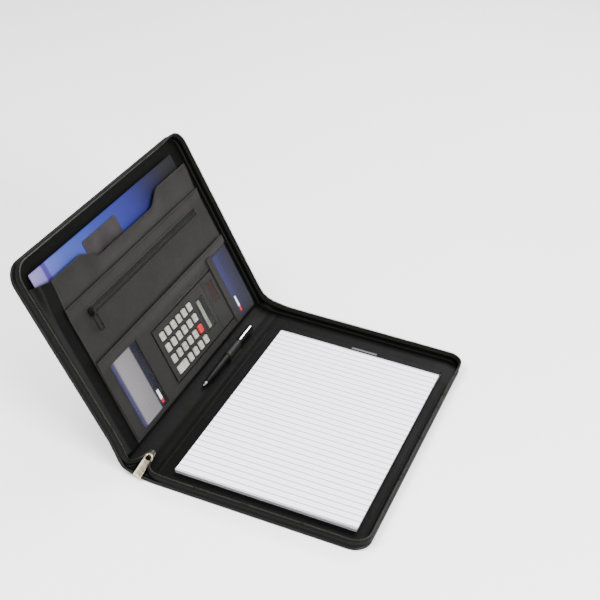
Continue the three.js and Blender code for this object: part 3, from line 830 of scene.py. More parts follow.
SLIDER_US, SLIDER_ALONGS, SLIDER_HEIGHT = extent("zip_slider")
SLIDER_U = sum(SLIDER_US) / 2
ZIP_TOP = extent("back_zip_tape")[2][1]
TOOTH_PITCH = 1.75
TOOTH_SIZE = (1.35, 1.0, 2.1)
TOOTH_ROW = (-0.2, 14.05)
ZIP_SEAMS = ((1.42, 9.5), (1.3, 10.5), (-1.2, 10.0))
FAR_LEAN = 3.0
FOLD_LIFT = {"front": 4.5, "back": 1.6}
BELLOWS_ROWS = 14
BELLOWS_WIDTH = 17
WALL_INSET = 2.2

# Sections of the wall and of the zip's two tape layers, as (outwards, height)
GUSSET_SECTION = (
    (0.6, 1.6), (1.0, 3.2), (1.15, 5.0), (1.1, 6.8), (0.8, 8.6), (0.5, 9.6), (0.1, 10.2),
    (-0.5, 10.3), (-0.75, 9.4), (-0.5, 8.2), (-0.2, 6.6), (-0.15, 5.0), (-0.3, 3.4), (-0.7, 1.6),
)
OUTER_TAPE_SECTION = (
    (0.75, 8.0), (1.25, 8.3), (1.35, 9.4), (1.15, 10.6), (0.9, 11.9),
    (0.65, 13.0), (0.15, 13.0), (0.3, 11.9), (0.45, 10.6), (0.6, 9.4),
)
INNER_TAPE_SECTION = (
    (-0.5, 9.2), (-0.15, 10.6), (0.02, 12.0), (0.05, 13.6), (-0.45, 13.7),
    (-0.75, 13.2), (-0.8, 12.0), (-0.95, 10.6), (-1.15, 9.4), (-0.95, 9.0),
)


def wall_path(half):
    """Places round the wall, from the main slider out along a fold to the far mid-spine."""
    mouth = half.sign * (SLIDER_U - half.u(0)) + 2.2
    p0, p1 = Vector((mouth, SLIDER_ALONGS[1] - 3)), Vector((mouth + 0.5, 9))
    p2, p3 = Vector((2, WALL_INSET)), Vector((BELLOWS_WIDTH, WALL_INSET))
    places = []
    for t in spread(0, 1, BELLOWS_ROWS)[:-1]:
        s = 1 - t
        at = p0 * s**3 + p1 * 3 * s * s * t + p2 * 3 * s * t * t + p3 * t**3
        going = (p1 - p0) * 3 * s * s + (p2 - p1) * 6 * s * t + (p3 - p2) * 3 * t * t
        going.normalize()
        places.append((at.x, at.y, (going.y, -going.x)))
    rest = half.outline(WALL_INSET)
    return places + [row for row in rest if row[0] >= BELLOWS_WIDTH or row[1] >= LENGTH / 2]


def wall_lean(across, along):
    """How far the wall's top leans outwards: most in the middle of the far wall."""
    far = smooth_step((along - LENGTH + 60) / 50)
    fore = smooth_step((across - WIDTH + 40) / 30)
    near = 1 - smooth_step(along / 50)
    spine_spread = 1 + dip(across, MID_SPINE, 28, 0.5)
    out = 1.2 * fore * (1 - far) + 0.9 * near * (1 - fore)
    return FAR_LEAN * far * spine_spread + out * smooth_step((across - 2) / 30)


def wall_ring(half, row, section, bellows=0):
    """One ring of the wall. At the slider the foot stays on the spine's near edge, so the wall
    slopes in from there to the zip as a bellows."""
    across, along, way = row
    lean = wall_lean(across, along)
    foot = MID_SPINE + (BELLOWS_WIDTH - MID_SPINE) * (1 - bellows)
    points = []
    for out, height in section:
        rise = (height / ZIP_TOP) ** 1.5
        sway = ripple(across, along, 26, 0.5, 2) * math.sin(math.pi * min(height / ZIP_TOP, 1))
        shift = out + lean * rise + sway
        x, y = across + way[0] * shift, along + way[1] * shift
        if bellows:
            risen = smooth_step((height - 1.6) / 7)
            start = WALL_INSET + out
            x, y = foot + (x - foot) * risen, start + (y - start) * risen
        lift = dip(across, 0, 9, FOLD_LIFT[half.name]) * rise if along > LENGTH / 2 else 0
        points.append((half.u(x), y, height + lift))
    return points


def add_wall(half):
    rows = wall_path(half)

    def rings(section):
        return [wall_ring(half, row, section, max(1 - i / BELLOWS_ROWS, 0)) for i, row in enumerate(rows)]

    def line(place):
        return [Vector(wall_ring(half, row, [place])[0]) for row in rows]

    gusset = Shape()
    gusset.loft(rings(GUSSET_SECTION))
    nodes = f"{half.name}_gusset", "spine_gusset_near", "spine_gusset_far"
    piece(f"{half.name}_wall", gusset, [INNER], "leather_inner", half.body, *nodes, reach=WALL_REACH)
    tape = Shape()
    tape.loft(rings(OUTER_TAPE_SECTION))
    tape.loft(rings(INNER_TAPE_SECTION))
    for place, direction in walk(line(TOOTH_ROW), TOOTH_PITCH):
        tape.bead(place, UP, TOOTH_SIZE, 1, direction.cross(UP))
    for seam in ZIP_SEAMS:
        tape.stitches(line(seam), 2, size=(0.68, 0.5, 0.4))
    paints = [TAPE, TEETH, THREAD]
    node = f"{half.name}_zip_tape"
    piece(f"{half.name}_zip", tape, paints, "zip", half.body, node, reach=WALL_REACH)


def add_main_slider():
    shape = Shape()
    floor = SLIDER_HEIGHT[0]
    us, alongs = (SLIDER_US[0] + 0.6, SLIDER_US[1] - 0.6), (SLIDER_ALONGS[0], SLIDER_ALONGS[1] - 4)
    shape.block(us, alongs, 3, (floor, floor + 1.1), 0.4)
    shape.block(us, alongs, 3, (floor + 2.5, floor + 3.8), 0.5)
    post = (SLIDER_U - 1.3, SLIDER_U + 1.3), (alongs[1] - 4.5, alongs[1] - 1)
    shape.cushion(*post, 1, [(0, floor + 0.8), (0, floor + 3)])
    pivot = frame_of("spine").inverted() @ Vector(JOINTS["zip_puller_swing"]["pos_m"]) / MM
    shape.tube(arch((SLIDER_U, pivot.y + 3.2, floor + 3.5), (0, 4.6, 0), 2.2), 0.75)
    piece("main_slider", shape, [PEWTER], "satin_metal", "spine", "zip_slider")

    tab = Shape()
    length, half_width, droop = 31, 4.75, 22.5
    crown = [(0.4, -0.8), (0, -0.45), (0, 0.2), (0.35, 0.55), (1.1, 0.78), (2.2, 0.9), (3.6, 0.95)]
    rings = [(inset, pivot.z + rise) for inset, rise in crown]
    tab_us = SLIDER_U - half_width, SLIDER_U + half_width
    tab.cushion(tab_us, (pivot.y - length, pivot.y - 8.4), 1.4, rings)
    link = rectangle((SLIDER_U - 3.9, SLIDER_U + 3.9), (pivot.y - 9.4, pivot.y - 0.9), 2.8)
    tab.tube([(x, y, pivot.z) for x, y in link], 1.0, 0, True, 0.8)
    swing = Matrix.Rotation(math.radians(droop), 3, "X")
    tab.points = [tuple(pivot + swing @ (Vector(point) - pivot)) for point in tab.points]
    piece("main_puller", tab, [SATIN], "satin_metal", "zip_puller", "zip_puller")


# ------------------------------------------------------------------ pad

HEM = 3
PAD_LABEL = (-116, -83)
PAD_LABEL_HALF_WIDTH = 1.6


def add_pad_pocket():
    us, alongs, (floor, face) = extent("pad_pocket")
    radius = 13.5

    def place(u, along):
        squeeze = rounded(us[1] - u, radius)
        return u, along + squeeze * (1 - smooth_step((along - alongs[0]) / 40))

    def top(u, along):
        distance = min(u - us[0], us[1] - u, along - alongs[0], alongs[1] - along)
        return face - 0.05 - rounded(distance, 0.3) - dip(distance, HEM, 0.7, 0.18)

    shape = Shape()
    stops_across = stops(*us, 9, around(us[1] - HEM) + around(us[0] + HEM))
    stops_along = stops(*alongs, 9, around(alongs[0] + HEM))
    shape.sheet(stops_across, stops_along, top, lambda u, along: floor, place)
    row = [(us[0] + HEM, alongs[1] - 2), (us[0] + HEM, alongs[0] + HEM)]
    row += arc((us[1] - radius, alongs[0] + radius), radius - HEM, -90, 0, 6)
    row.append((us[1] - HEM, alongs[1] - 2))
    shape.stitches([(u, along, face - STITCH_LEVEL) for u, along in row])
    piece("pad_pocket_leather", shape, [INNER, THREAD], "leather_inner", "back_half", "pad_pocket")


def add_pad_block():
    """The stacked sheets, whose cut edges don't quite line up, and the ruled one on top."""
    us, alongs, (low, high) = extent("pad_sheets")
    random.seed(7)
    block = Shape()
    rings = [(random.uniform(0, 0.22), height) for height in spread(low, high, 14)]
    block.cushion(us, alongs, 0.8, rings, 0, 2)
    block.cushion(us, alongs, 0.8, [(0.1, high - 0.02), (0.1, high + 0.06)], 1, 2)
    # The block's sides carry the sheet edges' painted shade.
    piece("pad_block", block, [SHADED_STACK, RULED], "pad_paper", "pad", "pad_sheets", smooth=20)


def add_top_sheet():
    us, alongs, (floor, _) = extent("writing_sheet")

    def curl(u, along):
        """The free foot of the sheet lifts a little, most at its fore corner."""
        foot = max(0, 1 - (along - alongs[0]) / 60)
        fore = smooth_step((u - us[0]) / (us[1] - us[0]))
        wave = 0.12 * math.sin((u - us[0]) / 31) * max(0, 1 - (along - alongs[0]) / 220)
        return floor + 0.25 * foot**2 + 1.1 * fore**3 * foot**3 + max(wave, -0.1)

    sheet = Shape()
    top, bottom = lambda u, y: curl(u, y) + 0.32, lambda u, y: curl(u, y) + 0.05
    sheet.sheet(stops(*us, 7), stops(*alongs, 7), top, bottom)
    piece("top_sheet", sheet, [RULED], "pad_paper", "writing_sheet", "writing_sheet")


def add_pad_binding():
    """The backing card, the head binding over the sheets, and a plain bar on it."""
    us, (foot, head), (low, high) = extent("pad_backing")
    backing = Shape()
    backing.block(us, (foot, head), 1.2, (low, low + 0.8), 0.2)
    start = extent("pad_sheets")[1][1] + 0.35
    backing.block(us, (start, head), 0.8, (low + 0.82, high), 0.7, 1)
    middle = (start + head) / 2
    label = [us[1] + place for place in PAD_LABEL]
    label_along = middle - PAD_LABEL_HALF_WIDTH, middle + PAD_LABEL_HALF_WIDTH
    backing.cushion(label, label_along, 0.3, [(0, high - 0.05), (0, high + 0.05)], 2, 1)
    piece("pad_binding", backing, [BOARD, INNER, GREY_INK], "pad_card", "pad", "pad_backing")


# ------------------------------------------------------------------ organiser layers

FOLDED_EDGE = 0.45
OPENING_HEM = 2.6
CALCULATOR_GAP = 0.3


def frontward(points, height, lift=lambda a, y: 0):
    """(across, along) points on the front half at a height that lift adds to."""
    return [(front(a), y, height + lift(a, y)) for a, y in points]


def opening(node, gap):
    """The hole that a front half layer leaves for a node."""
    return tuple((low - gap, high + gap) for low, high in span(node)[:2])


def layer(
    shape, across, along, height, holes=(), extra=((), ()), lift=lambda a, y: 0, wave=0.1, edge=FOLDED_EDGE
):
    """A leather layer of the front half with rectangular holes, and soft folded edges round
    all of them. extra is more grid stops, across and along."""
    more_across, more_along = list(extra[0]), list(extra[1])
    for hole_across, hole_along in holes:
        for side in (0, 1):
            more_across += around(hole_across[side])
            more_along += around(hole_along[side])

    def hole_distance(a, y):
        gaps = [(max(a0 - a, 0, a - a1), max(y0 - y, 0, y - y1)) for (a0, a1), (y0, y1) in holes]
        return min((math.hypot(*gap) for gap in gaps), default=math.inf)

    def top(a, y):
        outer = min(a - across[0], across[1] - a, y - along[0], along[1] - y)
        drop = rounded(min(outer, hole_distance(a, y)), edge)
        return height[1] - drop + ripple(a, y, 24, wave, 4) + lift(a, y)

    shape.sheet(
        stops(*across, 8, more_across), stops(*along, 8, more_along), top,
        lambda a, y: height[0] + lift(a, y), lambda a, y: (front(a), y),
        lambda a, y: hole_distance(a, y) > 0,
    )


# ------------------------------------------------------------------ document pocket

(POCKET_FOOT, POCKET_TOP), (POCKET_NEAR, POCKET_FAR), (_, POCKET_FACE) = span("document_pocket")
POCKET_HEIGHT = POCKET_TOP - POCKET_FOOT
POCKET_LENGTH = POCKET_FAR - POCKET_NEAR
ZIP_POCKET_TOP = span("zip_pocket")[0][1]
SCOOP_DEPTH = 14.7
SCOOP = (92.6, 124, 240.7, 275)
POCKET_TAPER = 2.4
MOUTH_STAND_OFF = 4.2
GUSSET_FOOT = 8.5


def scoop(y):
    """How far the pocket's mouth dips at one place along."""
    falling = smooth_step((y - SCOOP[0]) / (SCOOP[1] - SCOOP[0]))
    rising = smooth_step((y - SCOOP[2]) / (SCOOP[3] - SCOOP[2]))
    return SCOOP_DEPTH * (falling - rising)


def stand_off(a):
    """The free mouth stands away from the folder behind it."""
    return MOUTH_STAND_OFF * smooth_step((a - ZIP_POCKET_TOP + 12) / (POCKET_TOP - ZIP_POCKET_TOP + 12))


def pocket_place(a, y):
    """The pocket narrows towards its mouth, and its upper part follows the scoop."""
    taper = POCKET_TAPER * (a - POCKET_FOOT) / POCKET_HEIGHT
    middle = (POCKET_NEAR + POCKET_FAR) / 2
    upper = max(0, (a - ZIP_POCKET_TOP) / (POCKET_TOP - ZIP_POCKET_TOP))
    return front(a - scoop(y) * upper), middle + (y - middle) * (1 - 2 * taper / POCKET_LENGTH)


def pocket_height(a, y):
    distance = min(POCKET_TOP - a, y - POCKET_NEAR, POCKET_FAR - y)
    pressed = rounded(distance, 0.5) + dip(distance, HEM, 0.7, 0.2)
    bow = math.sin(math.pi * (y - POCKET_NEAR) / POCKET_LENGTH)
    sag = 0.5 * bow * smooth_step((a - ZIP_POCKET_TOP) / 20)
    return POCKET_FACE + stand_off(a) - sag - pressed + ripple(a, y, 26, 0.45, 6)


def add_document_pocket():
    near, far, top = POCKET_NEAR + HEM, POCKET_FAR - HEM, POCKET_TOP - HEM
    tight = (0.6, 1.2)
    shape = Shape()
    acrosses = stops(POCKET_FOOT, POCKET_TOP, 8, around(top, tight))
    alongs = stops(POCKET_NEAR, POCKET_FAR, 6, around(near, tight) + around(far, tight))
    shape.sheet(acrosses, alongs, pocket_height, lambda a, y: pocket_height(a, y) - 1.1, pocket_place)
    climb = spread(ZIP_POCKET_TOP + 2, top, 35)
    row = [(a, near) for a in climb]
    row += [(top, y) for y in spread(near, far, 100)[1:-1]]
    row += [(a, far) for a in reversed(climb)]
    shape.stitches([(*pocket_place(a, y), pocket_height(a, y) + 0.05) for a, y in row])
    piece("document_pocket_leather", shape, [LIT_PANEL, THREAD], "leather_inner", "front_half", "document_pocket")


def add_near_gusset():
    """The wide soft side between the document pocket and the front lining."""
    foot_height = 4.6

    def place(a, share):
        start = pocket_place(a, POCKET_NEAR)[1] + 1.0
        across = a + (1 - share) * 6 * (a - POCKET_FOOT) / POCKET_HEIGHT
        return front(across), GUSSET_FOOT + (start - GUSSET_FOOT) * share

    def height(a, share):
        rise = smooth_step((share - 0.04) / 0.36)
        return foot_height + (POCKET_FACE - 0.6 + stand_off(a) - foot_height) * rise

    side = Shape()
    acrosses = stops(POCKET_FOOT, POCKET_TOP - 0.5, 8)
    side.sheet(acrosses, spread(0, 1, 16), height, lambda a, s: height(a, s) - 0.6, place)
    piece("pocket_near_gusset", side, [INNER], "leather_inner", "front_half")


def add_far_gusset():
    """The narrow side at the pocket's far end, bowed outwards."""
    foot_height, thickness = 4.4, 0.7
    acrosses = stops(POCKET_FOOT, POCKET_TOP - 0.5, 8)
    places = [pocket_place(a, POCKET_FAR - 2.6) for a in acrosses]
    end = Shape()
    rings = []
    for share in (0, 0.3, 0.6, 0.85, 1):
        bow = 1.6 * math.sin(math.pi * share)
        outside, inside = [], []
        for a, (x, y) in zip(acrosses, places):
            height = foot_height + (POCKET_FACE - 0.9 + stand_off(a) - foot_height) * share
            outside.append((x, y + bow, height))
            inside.append((x, y + bow - thickness, height))
        rings.append(outside + inside[::-1])
    end.loft(rings)
    piece("pocket_far_gusset", end, [INNER], "leather_inner", "front_half")


# ------------------------------------------------------------------ zip pocket

ZIP_SLOT = ((153.8, 163.4), (63, 321))
SLOT_ACROSS = (12.8, 102)
SLOT_START = 289.9


def add_zip_pocket():
    across, along, height = span("zip_pocket")
    (slot_foot, slot_top), (slot_near, slot_far) = ZIP_SLOT
    cards = (across[0] - 1, SLOT_ACROSS[1] + 0.3), (SLOT_START - 0.3, along[1] + 1)

    def lift(a, y):
        """The layer swells between the zip and the lower band, and its top edge is loose."""
        swell = 0.7 * math.sin(math.pi * min(max((a - 112) / 42, 0), 1)) ** 2
        loose = 1.3 * smooth_step((a - 166) / 14)
        return swell * math.sin(math.pi * (y - along[0]) / (along[1] - along[0])) + loose

    shape = Shape()
    holes = [ZIP_SLOT, opening("calculator_case", CALCULATOR_GAP), cards]
    layer(shape, across, along, height, holes, lift=lift, wave=0.34)
    for edge in (slot_foot - OPENING_HEM, slot_top + OPENING_HEM):
        line = [(edge, slot_near - OPENING_HEM), (edge, slot_far + OPENING_HEM)]
        shape.stitches(frontward(line, height[1] + 0.08, lift))
    top_line = [(across[1] - HEM, y) for y in (along[0] + HEM, along[1] - HEM)]
    shape.stitches(frontward(top_line, height[1] + 0.1, lift))
    piece("zip_pocket_leather", shape, [LIT_PANEL, THREAD], "leather_inner", "front_half", "zip_pocket")


def add_pocket_tape():
    """The pocket zip's two tapes, its closed coil and their stitch rows."""
    across, (near, far) = ZIP_SLOT
    middle = sum(across) / 2
    tape = Shape()
    for side in (-1, 1):
        edges = front(middle + side * 0.35), front(middle + side * 6.2)
        tape.block(edges, (near - 1.5, far + 1.5), 0.4, (10.02, 10.42), 0.12)
    for place, _ in walk(frontward([(middle, near), (middle, far)], 10.55), 1.5):
        tape.bead(place, Vector((1, 0, 0)), (3.2, 1.2, 0.7), 1)
    for a in (middle - OPENING_HEM, middle + OPENING_HEM):
        tape.stitches(frontward([(a, near), (a, far)], 10.46), 2)
    piece("pocket_zip_tape", tape, [TAPE, COIL, THREAD], "zip", "front_half")


def add_pocket_slider():
    us, alongs, (floor, _) = extent("pocket_zip_slider")
    shape = Shape()
    shape.block(us, alongs, 2.4, (floor + 0.35, floor + 1.9), 0.5)
    shape.tube(arch((sum(us) / 2 + 1.2, sum(alongs) / 2, floor + 1.6), (2.6, 0, 0), 2.0), 0.6)
    node = "pocket_zip_slider"
    piece("pocket_slider", shape, [DARK_METAL], "dark_metal", node, node)
    us, alongs, heights = extent("pocket_zip_puller")
    loop = Shape()
    path = rectangle(us, alongs, 3.6, inset=0.6)
    loop.tube([(x, y, sum(heights) / 2) for x, y in path], 0.65, 0, True)
    node = "pocket_zip_puller"
    piece("pocket_puller", loop, [DARK_METAL], "dark_metal", node, node)


# ------------------------------------------------------------------ lower band, cards and folder

BAND_HEIGHT = (11.8, 12.7)
BAND_STITCHES = BAND_HEIGHT[1] + 0.06
WINDOW = ((15.5, 98.6), (49, 107))
WINDOW_LIP = 1.2
SLOT_HEM = 2.6


def add_lower_band():
    across, along, _ = span("lower_band")
    hole = opening("calculator_case", CALCULATOR_GAP)
    cards = (across[0] - 1, SLOT_ACROSS[1]), (SLOT_START, along[1] + 1)

    def lift(a, y):
        """The band's top edge gapes a little between its ends."""
        gape = 0.9 + 0.5 * math.sin(math.pi * (y - along[0]) / (along[1] - along[0]))
        return gape * smooth_step((a - 98) / 14)

    shape = Shape()
    extra = around(104.5) + around(109, (0.6, 1.2)), around(40) + around(118.5) + around(128)
    layer(shape, across, along, BAND_HEIGHT, [WINDOW, hole, cards], extra, lift)
    (w0, w1), (v0, v1) = [(low - OPENING_HEM, high + OPENING_HEM) for low, high in WINDOW]
    shape.stitches(frontward([(w0, v0), (w1, v0), (w1, v1), (w0, v1)], BAND_STITCHES), 1, True)
    near_line = [(across[0] + HEM, along[0] + HEM), (across[1] - HEM, along[0] + HEM)]
    shape.stitches(frontward(near_line, BAND_STITCHES))
    top_line = [(109.2, y) for y in spread(along[0] + 4, along[1] - 4, 40)]
    shape.stitches(frontward(top_line, BAND_STITCHES, lift))
    (c0, c1), (d0, d1) = hole
    corner = [(c0 - OPENING_HEM, d0 - OPENING_HEM), (c1 + OPENING_HEM, d0 - OPENING_HEM)]
    shape.stitches(frontward([*corner, (c1 + OPENING_HEM, d1 - 6)], BAND_STITCHES))
    piece("lower_band_leather", shape, [LIT_PANEL, THREAD], "leather_inner", "front_half", "lower_band")

    film = Shape()
    film_across, film_along = [(low - WINDOW_LIP, high + WINDOW_LIP) for low, high in WINDOW]
    rings = [(0, 11.82), (0.05, 11.9), (0.05, 12.02), (0, 12.1)]
    film.cushion(fronts(film_across), film_along, 1, rings)
    piece("card_window_film", film, [FILM], "clear_plastic", "front_half", "card_window")


def printed(shape, across, along, height, paint):
    """A printed patch lying on a card."""
    shape.cushion(fronts(across), along, 0.2, [(0, height), (0, height + 0.04)], paint, 1)


def add_slot(shape, number):
    """A folded leather strip with a hem at its mouth, and the card behind it."""
    node = f"slot_card_{number}"
    across, along, height = span(node)
    mouth = along[1] - 14 + (SLOT_HEM if number > 1 else 0)
    strip = (SLOT_ACROSS[0], SLOT_ACROSS[1] + 1.2), (SLOT_START, mouth)
    layer(shape, *strip, (height[1] + 0.25, height[1] + 0.75), wave=0.05, edge=0.24)
    row = [(SLOT_ACROSS[0] + 2, mouth - 2), (SLOT_ACROSS[1] - 2, mouth - 2)]
    shape.stitches(frontward(row, height[1] + 0.6), pitch=2.8)
    # The card's colour is painted reflection and painted shade; the white and red patches on the first card
    # are print.
    card = Shape()
    card.block(fronts(across), along, 2, height, 0.08)
    if number == 1:
        printed(card, (26, 40), (307, 310.6), height[1], 1)
        printed(card, (19, 26), (307, 310.6), height[1], 2)
    piece(f"{node}_print", card, [SLOT_PAINTED_LIGHT, WHITE_INK, RED_INK], "slot_card_paper", node, node)


def add_slots():
    """Three stepped slots on a leather floor, and the raised strip along their tops."""
    shape = Shape()
    along = SLOT_START, span("lower_band")[1][1]
    top = SLOT_ACROSS[1]
    shape.block(fronts(SLOT_ACROSS), along, 0.5, (9.95, 10.2), 0.1)
    for number in (1, 2, 3):
        add_slot(shape, number)
    shape.block((front(top + 0.4), front(top + 2.2)), along, 0.8, (10.3, 13.0), 0.5)
    piece("slot_leather", shape, [LIT_PANEL, THREAD], "leather_inner", "front_half")


def add_business_card():
    # The card's bands hold its print and painted shade at its near end.
    across, along, height = span("business_card")
    card = Shape()
    card.block(fronts(across), along, 2, height, 0.08)
    printed(card, (24, 36), (96.5, 101), height[1], 1)
    printed(card, (19, 24), (96.5, 101), height[1], 2)
    for line in range(7):
        printed(card, (17.5, 40 - 3 * (line % 3)), (64 + 4 * line, 64.6 + 4 * line), height[1], 3)
    paints = [CARD_PRINT_AND_SHADE, WHITE_INK, RED_INK, GREY_INK]
    piece("business_card_print", card, paints, "card_paper", "business_card", "business_card")


def add_folder():
    """A folded sheet in two leaves, and the dark tab in front of it."""
    (foot, top), (near, far), (low, high) = span("brochure")
    shape = Shape()
    for leaf in (0, 1):
        leaf_us = front(foot + leaf), front(top - leaf * 0.8)
        start = low + 0.45 * leaf
        shape.block(leaf_us, (near + leaf * 0.6, far), 1.5, (start, start + 0.38), 0.12)
    shape.block((front(150), front(top - 10.5)), (112, 184), 3.5, (high + 0.02, high + 0.5), 0.15, 1)
    piece("folder", shape, [BROCHURE_PRINT, TAB_CARD], "brochure_paper", "brochure", "brochure")


# ------------------------------------------------------------------ calculator

# The signs of each row of keys. A blank is the place of a double key's second half.
KEY_ROWS = {1: "+ -x/%", 2: "=369MC", 3: ".258RE", 4: "0147VT"}
KEY_MARKS = {}
for key_row, signs in KEY_ROWS.items():
    for key_column, sign in enumerate(signs, 1):
        if sign != " ":
            KEY_MARKS[key_row, key_column] = sign
RED_KEY = (2, 6)
KEY_PROFILE = (
    (0.35, 0), (0.25, 0.2), (0.75, 1.65), (0.95, 2.1), (1.3, 2.34), (1.7, 2.4), (2.6, 2.32), (3.6, 2.28),
)
KEY_TRAVEL_HEIGHT = 2.4
CASE_GAP = 1.7
SOLAR_BOX = ((54.6, 80.9), (268.6, 281.3))
FRAME_LINE = [(54.6, 268.0), (81.4, 268.0), (81.4, 279.5), (79.6, 281.9), (54.6, 281.9)]
PANEL_LINE = 257.0
DISPLAY_ALONG = (234.2, 240.8)


def mark_shape(text, size):
    """A generic sign on a key, as flat mesh points and faces."""
    curve = bpy.data.curves.new("mark", "FONT")
    curve.body = text
    curve.size = size
    curve.align_x = "CENTER"
    curve.align_y = "CENTER"
    curve.extrude = 0.03
    holder = bpy.data.objects.new("mark", curve)
    bpy.context.scene.collection.objects.link(holder)
    mesh = bpy.data.meshes.new_from_object(holder.evaluated_get(bpy.context.evaluated_depsgraph_get()))
    points = [vertex.co.copy() for vertex in mesh.vertices]
    faces = [tuple(polygon.vertices) for polygon in mesh.polygons]
    bpy.data.objects.remove(holder)
    bpy.data.curves.remove(curve)
    bpy.data.meshes.remove(mesh)
    return points, faces


def add_key(row, column, mark):
    node = f"key_{row}_{column}"
    us, alongs, (base, crown) = extent(node)
    is_red = (row, column) == RED_KEY
    paint, slot, radius = (RED_PLASTIC, "red_key", 2.6) if is_red else (KEY_PLASTIC, "key_plastic", 1.6)
    shape = Shape()
    share = (crown - base) / KEY_TRAVEL_HEIGHT
    shape.cushion(us, alongs, radius, [(inset, base + share * rise) for inset, rise in KEY_PROFILE])
    points, faces = mark_shape(mark, 4.4)
    start = len(shape.points)
    middle = Vector((sum(us) / 2, sum(alongs) / 2, crown - 0.09))
    shape.points += [tuple(point + middle) for point in points]
    for face in faces:
        shape.face([start + corner for corner in face], 1)
    piece(f"{node}_cap", shape, [paint, KEY_INK], slot, node, node)


def add_calculator():
    across, along, (floor, face) = span("calculator_case")
    display_across, display_along, (glass_floor, glass) = span("calculator_display")
    holes = [opening(f"key_{row}_{column}", 0.35) for row, column in KEY_MARKS]
    holes += [opening("calculator_display", CALCULATOR_GAP), SOLAR_BOX]
    case_face = [(low + CASE_GAP, high - CASE_GAP) for low, high in (across, along)]
    shape = Shape()
    layer(
        shape, *case_face, (10.2, face), holes, ((), around(PANEL_LINE, (0.2, 0.5))),
        lambda a, y: -dip(y, PANEL_LINE, 0.35, 0.25), 0, 0.35,
    )
    shape.block(fronts(across), along, 1, (floor, 11.08), 0.2, 1)
    shape.tube(frontward(FRAME_LINE, face - 0.05), 0.45, 1, True)
    paints = [CASE_PLASTIC, BEZEL]
    piece("calculator_body", shape, paints, "calculator_plastic", "front_half", "calculator_case")

    screen = Shape()
    screen.block(fronts(display_across), display_along, 1.2, (glass_floor, glass - 0.25), 0.25, 1)
    lit = front(display_across[0] + 1.6), front(display_across[1] - 1.6)
    screen.cushion(lit, DISPLAY_ALONG, 0.6, [(0, glass - 0.5), (0, glass - 0.12)])
    piece("display_glass", screen, [LCD, BEZEL], "display", "front_half", "calculator_display")

    cell = Shape()
    cell.block(fronts(SOLAR_BOX[0]), SOLAR_BOX[1], 0.8, (11.4, face - 0.3), 0.15)
    piece("solar_cell", cell, [SOLAR], "display", "front_half")


# ------------------------------------------------------------------ pen

PEN_U = sum(extent("pen_barrel")[0]) / 2
PEN_HEIGHT = sum(extent("pen_barrel")[2]) / 2


def add_pen_barrel():
    """The chrome point, the ribbed grip and the plain barrel."""
    us, (tip, end), _ = extent("pen_barrel")
    radius = (us[1] - us[0]) / 2
    barrel = Shape()
    point = [(0, 0.25), (0.4, 0.5), (2.2, 0.8), (2.4, 1.3), (6.5, 2.1), (6.8, 2.1)]
    barrel.lathe(PEN_U, PEN_HEIGHT, [(tip + along, wide) for along, wide in point], 1)
    grip = [(tip + 6.5, 1.9), (tip + 6.9, 2.25), (tip + 12, 2.9)]
    for i in range(7):
        start = tip + 13 + i * 3.2
        swell = radius - 0.9 + 0.9 * math.sin(math.pi / 2 * i / 6)
        groove = swell - 0.12
        grip += [(start, swell), (start + 2.4, swell + 0.06), (start + 2.6, groove), (start + 3.0, groove)]
    grip += [(tip + 36, radius), (end - 0.6, radius), (end, radius - 0.3)]
    barrel.lathe(PEN_U, PEN_HEIGHT, grip)
    piece("pen_body", barrel, [LACQUER, CHROME], "pen_plastic", "pen", "pen_barrel")


def add_pen_cap():
    """The cap's ring, tube and crown, and its chrome clip."""
    us, (start, end), _ = extent("pen_cap")
    wide = (us[1] - us[0]) / 2
    cap = Shape()
    for profile in (
        [(start, wide - 0.35), (start + 0.3, wide), (start + 2.6, wide), (start + 2.9, wide - 0.2)],
        [(start + 2.5, wide - 0.15), (end - 5, wide - 0.3), (end - 4.8, wide - 0.3)],
        [(end - 4.9, wide - 0.1), (end - 2, wide - 0.1), (end - 0.6, wide - 1.2), (end, wide - 2.6)],
    ):
        cap.lathe(PEN_U, PEN_HEIGHT, profile)
    crown = PEN_HEIGHT + wide
    clip = [(end - 3, crown - 0.5), (end - 2.6, crown + 0.3), (end - 4, crown + 0.7)]
    clip += [(end - 4 - 4 * i, crown + 0.7 - 0.02 * i) for i in range(1, 8)]
    clip.append((start + 4.4, crown + 0.25))
    cap.tube([(PEN_U, along, height) for along, height in clip], 1.0, 1, False, 0.4)
    piece("pen_top", cap, [LACQUER, CHROME], "pen_metal", "pen", "pen_cap")


def add_pen_loop():
    """A leather band round the pen, and its foot sewn to the spine."""
    us, (near, far), _ = extent("pen_loop")
    outer = (us[1] - us[0]) / 2
    inner = outer - 0.8
    profile = [(near + 0.3, inner), (near, inner + 0.3), (near, outer - 0.3), (near + 0.3, outer)]
    for share in spread(0, 1, 8)[1:-1]:
        profile.append((near + (far - near) * share, outer - 0.12 * math.sin(math.pi * share)))
    profile += [(far - 0.3, outer), (far, outer - 0.3), (far, inner + 0.3), (far - 0.3, inner)]
    profile.append(((near + far) / 2, inner))
    rings = []
    for angle in spread(0, math.tau, 28)[:-1]:
        squash = 1.0 if math.sin(angle) > 0 else 0.98
        side, above = math.cos(angle), math.sin(angle) * squash
        rings.append([(PEN_U + r * side, y, PEN_HEIGHT + r * above) for y, r in profile])
    loop = Shape()
    loop.loft(rings, 0, True)
    foot = near + 0.5, far - 0.5
    loop.block((PEN_U + 2.5, PEN_U + outer + 5.5), foot, 1, (1.9, 2.6), 0.3, 2)
    for y in (foot[0] + 1.4, foot[1] - 1.4):
        ends = PEN_U + outer + 0.6, PEN_U + outer + 5
        loop.stitches([(u, y, 2.62) for u in ends], pitch=2.2)
    piece("pen_loop_leather", loop, [LIT_PANEL, THREAD, INNER], "leather_inner", "spine", "pen_loop")


# ------------------------------------------------------------------ badge and boards


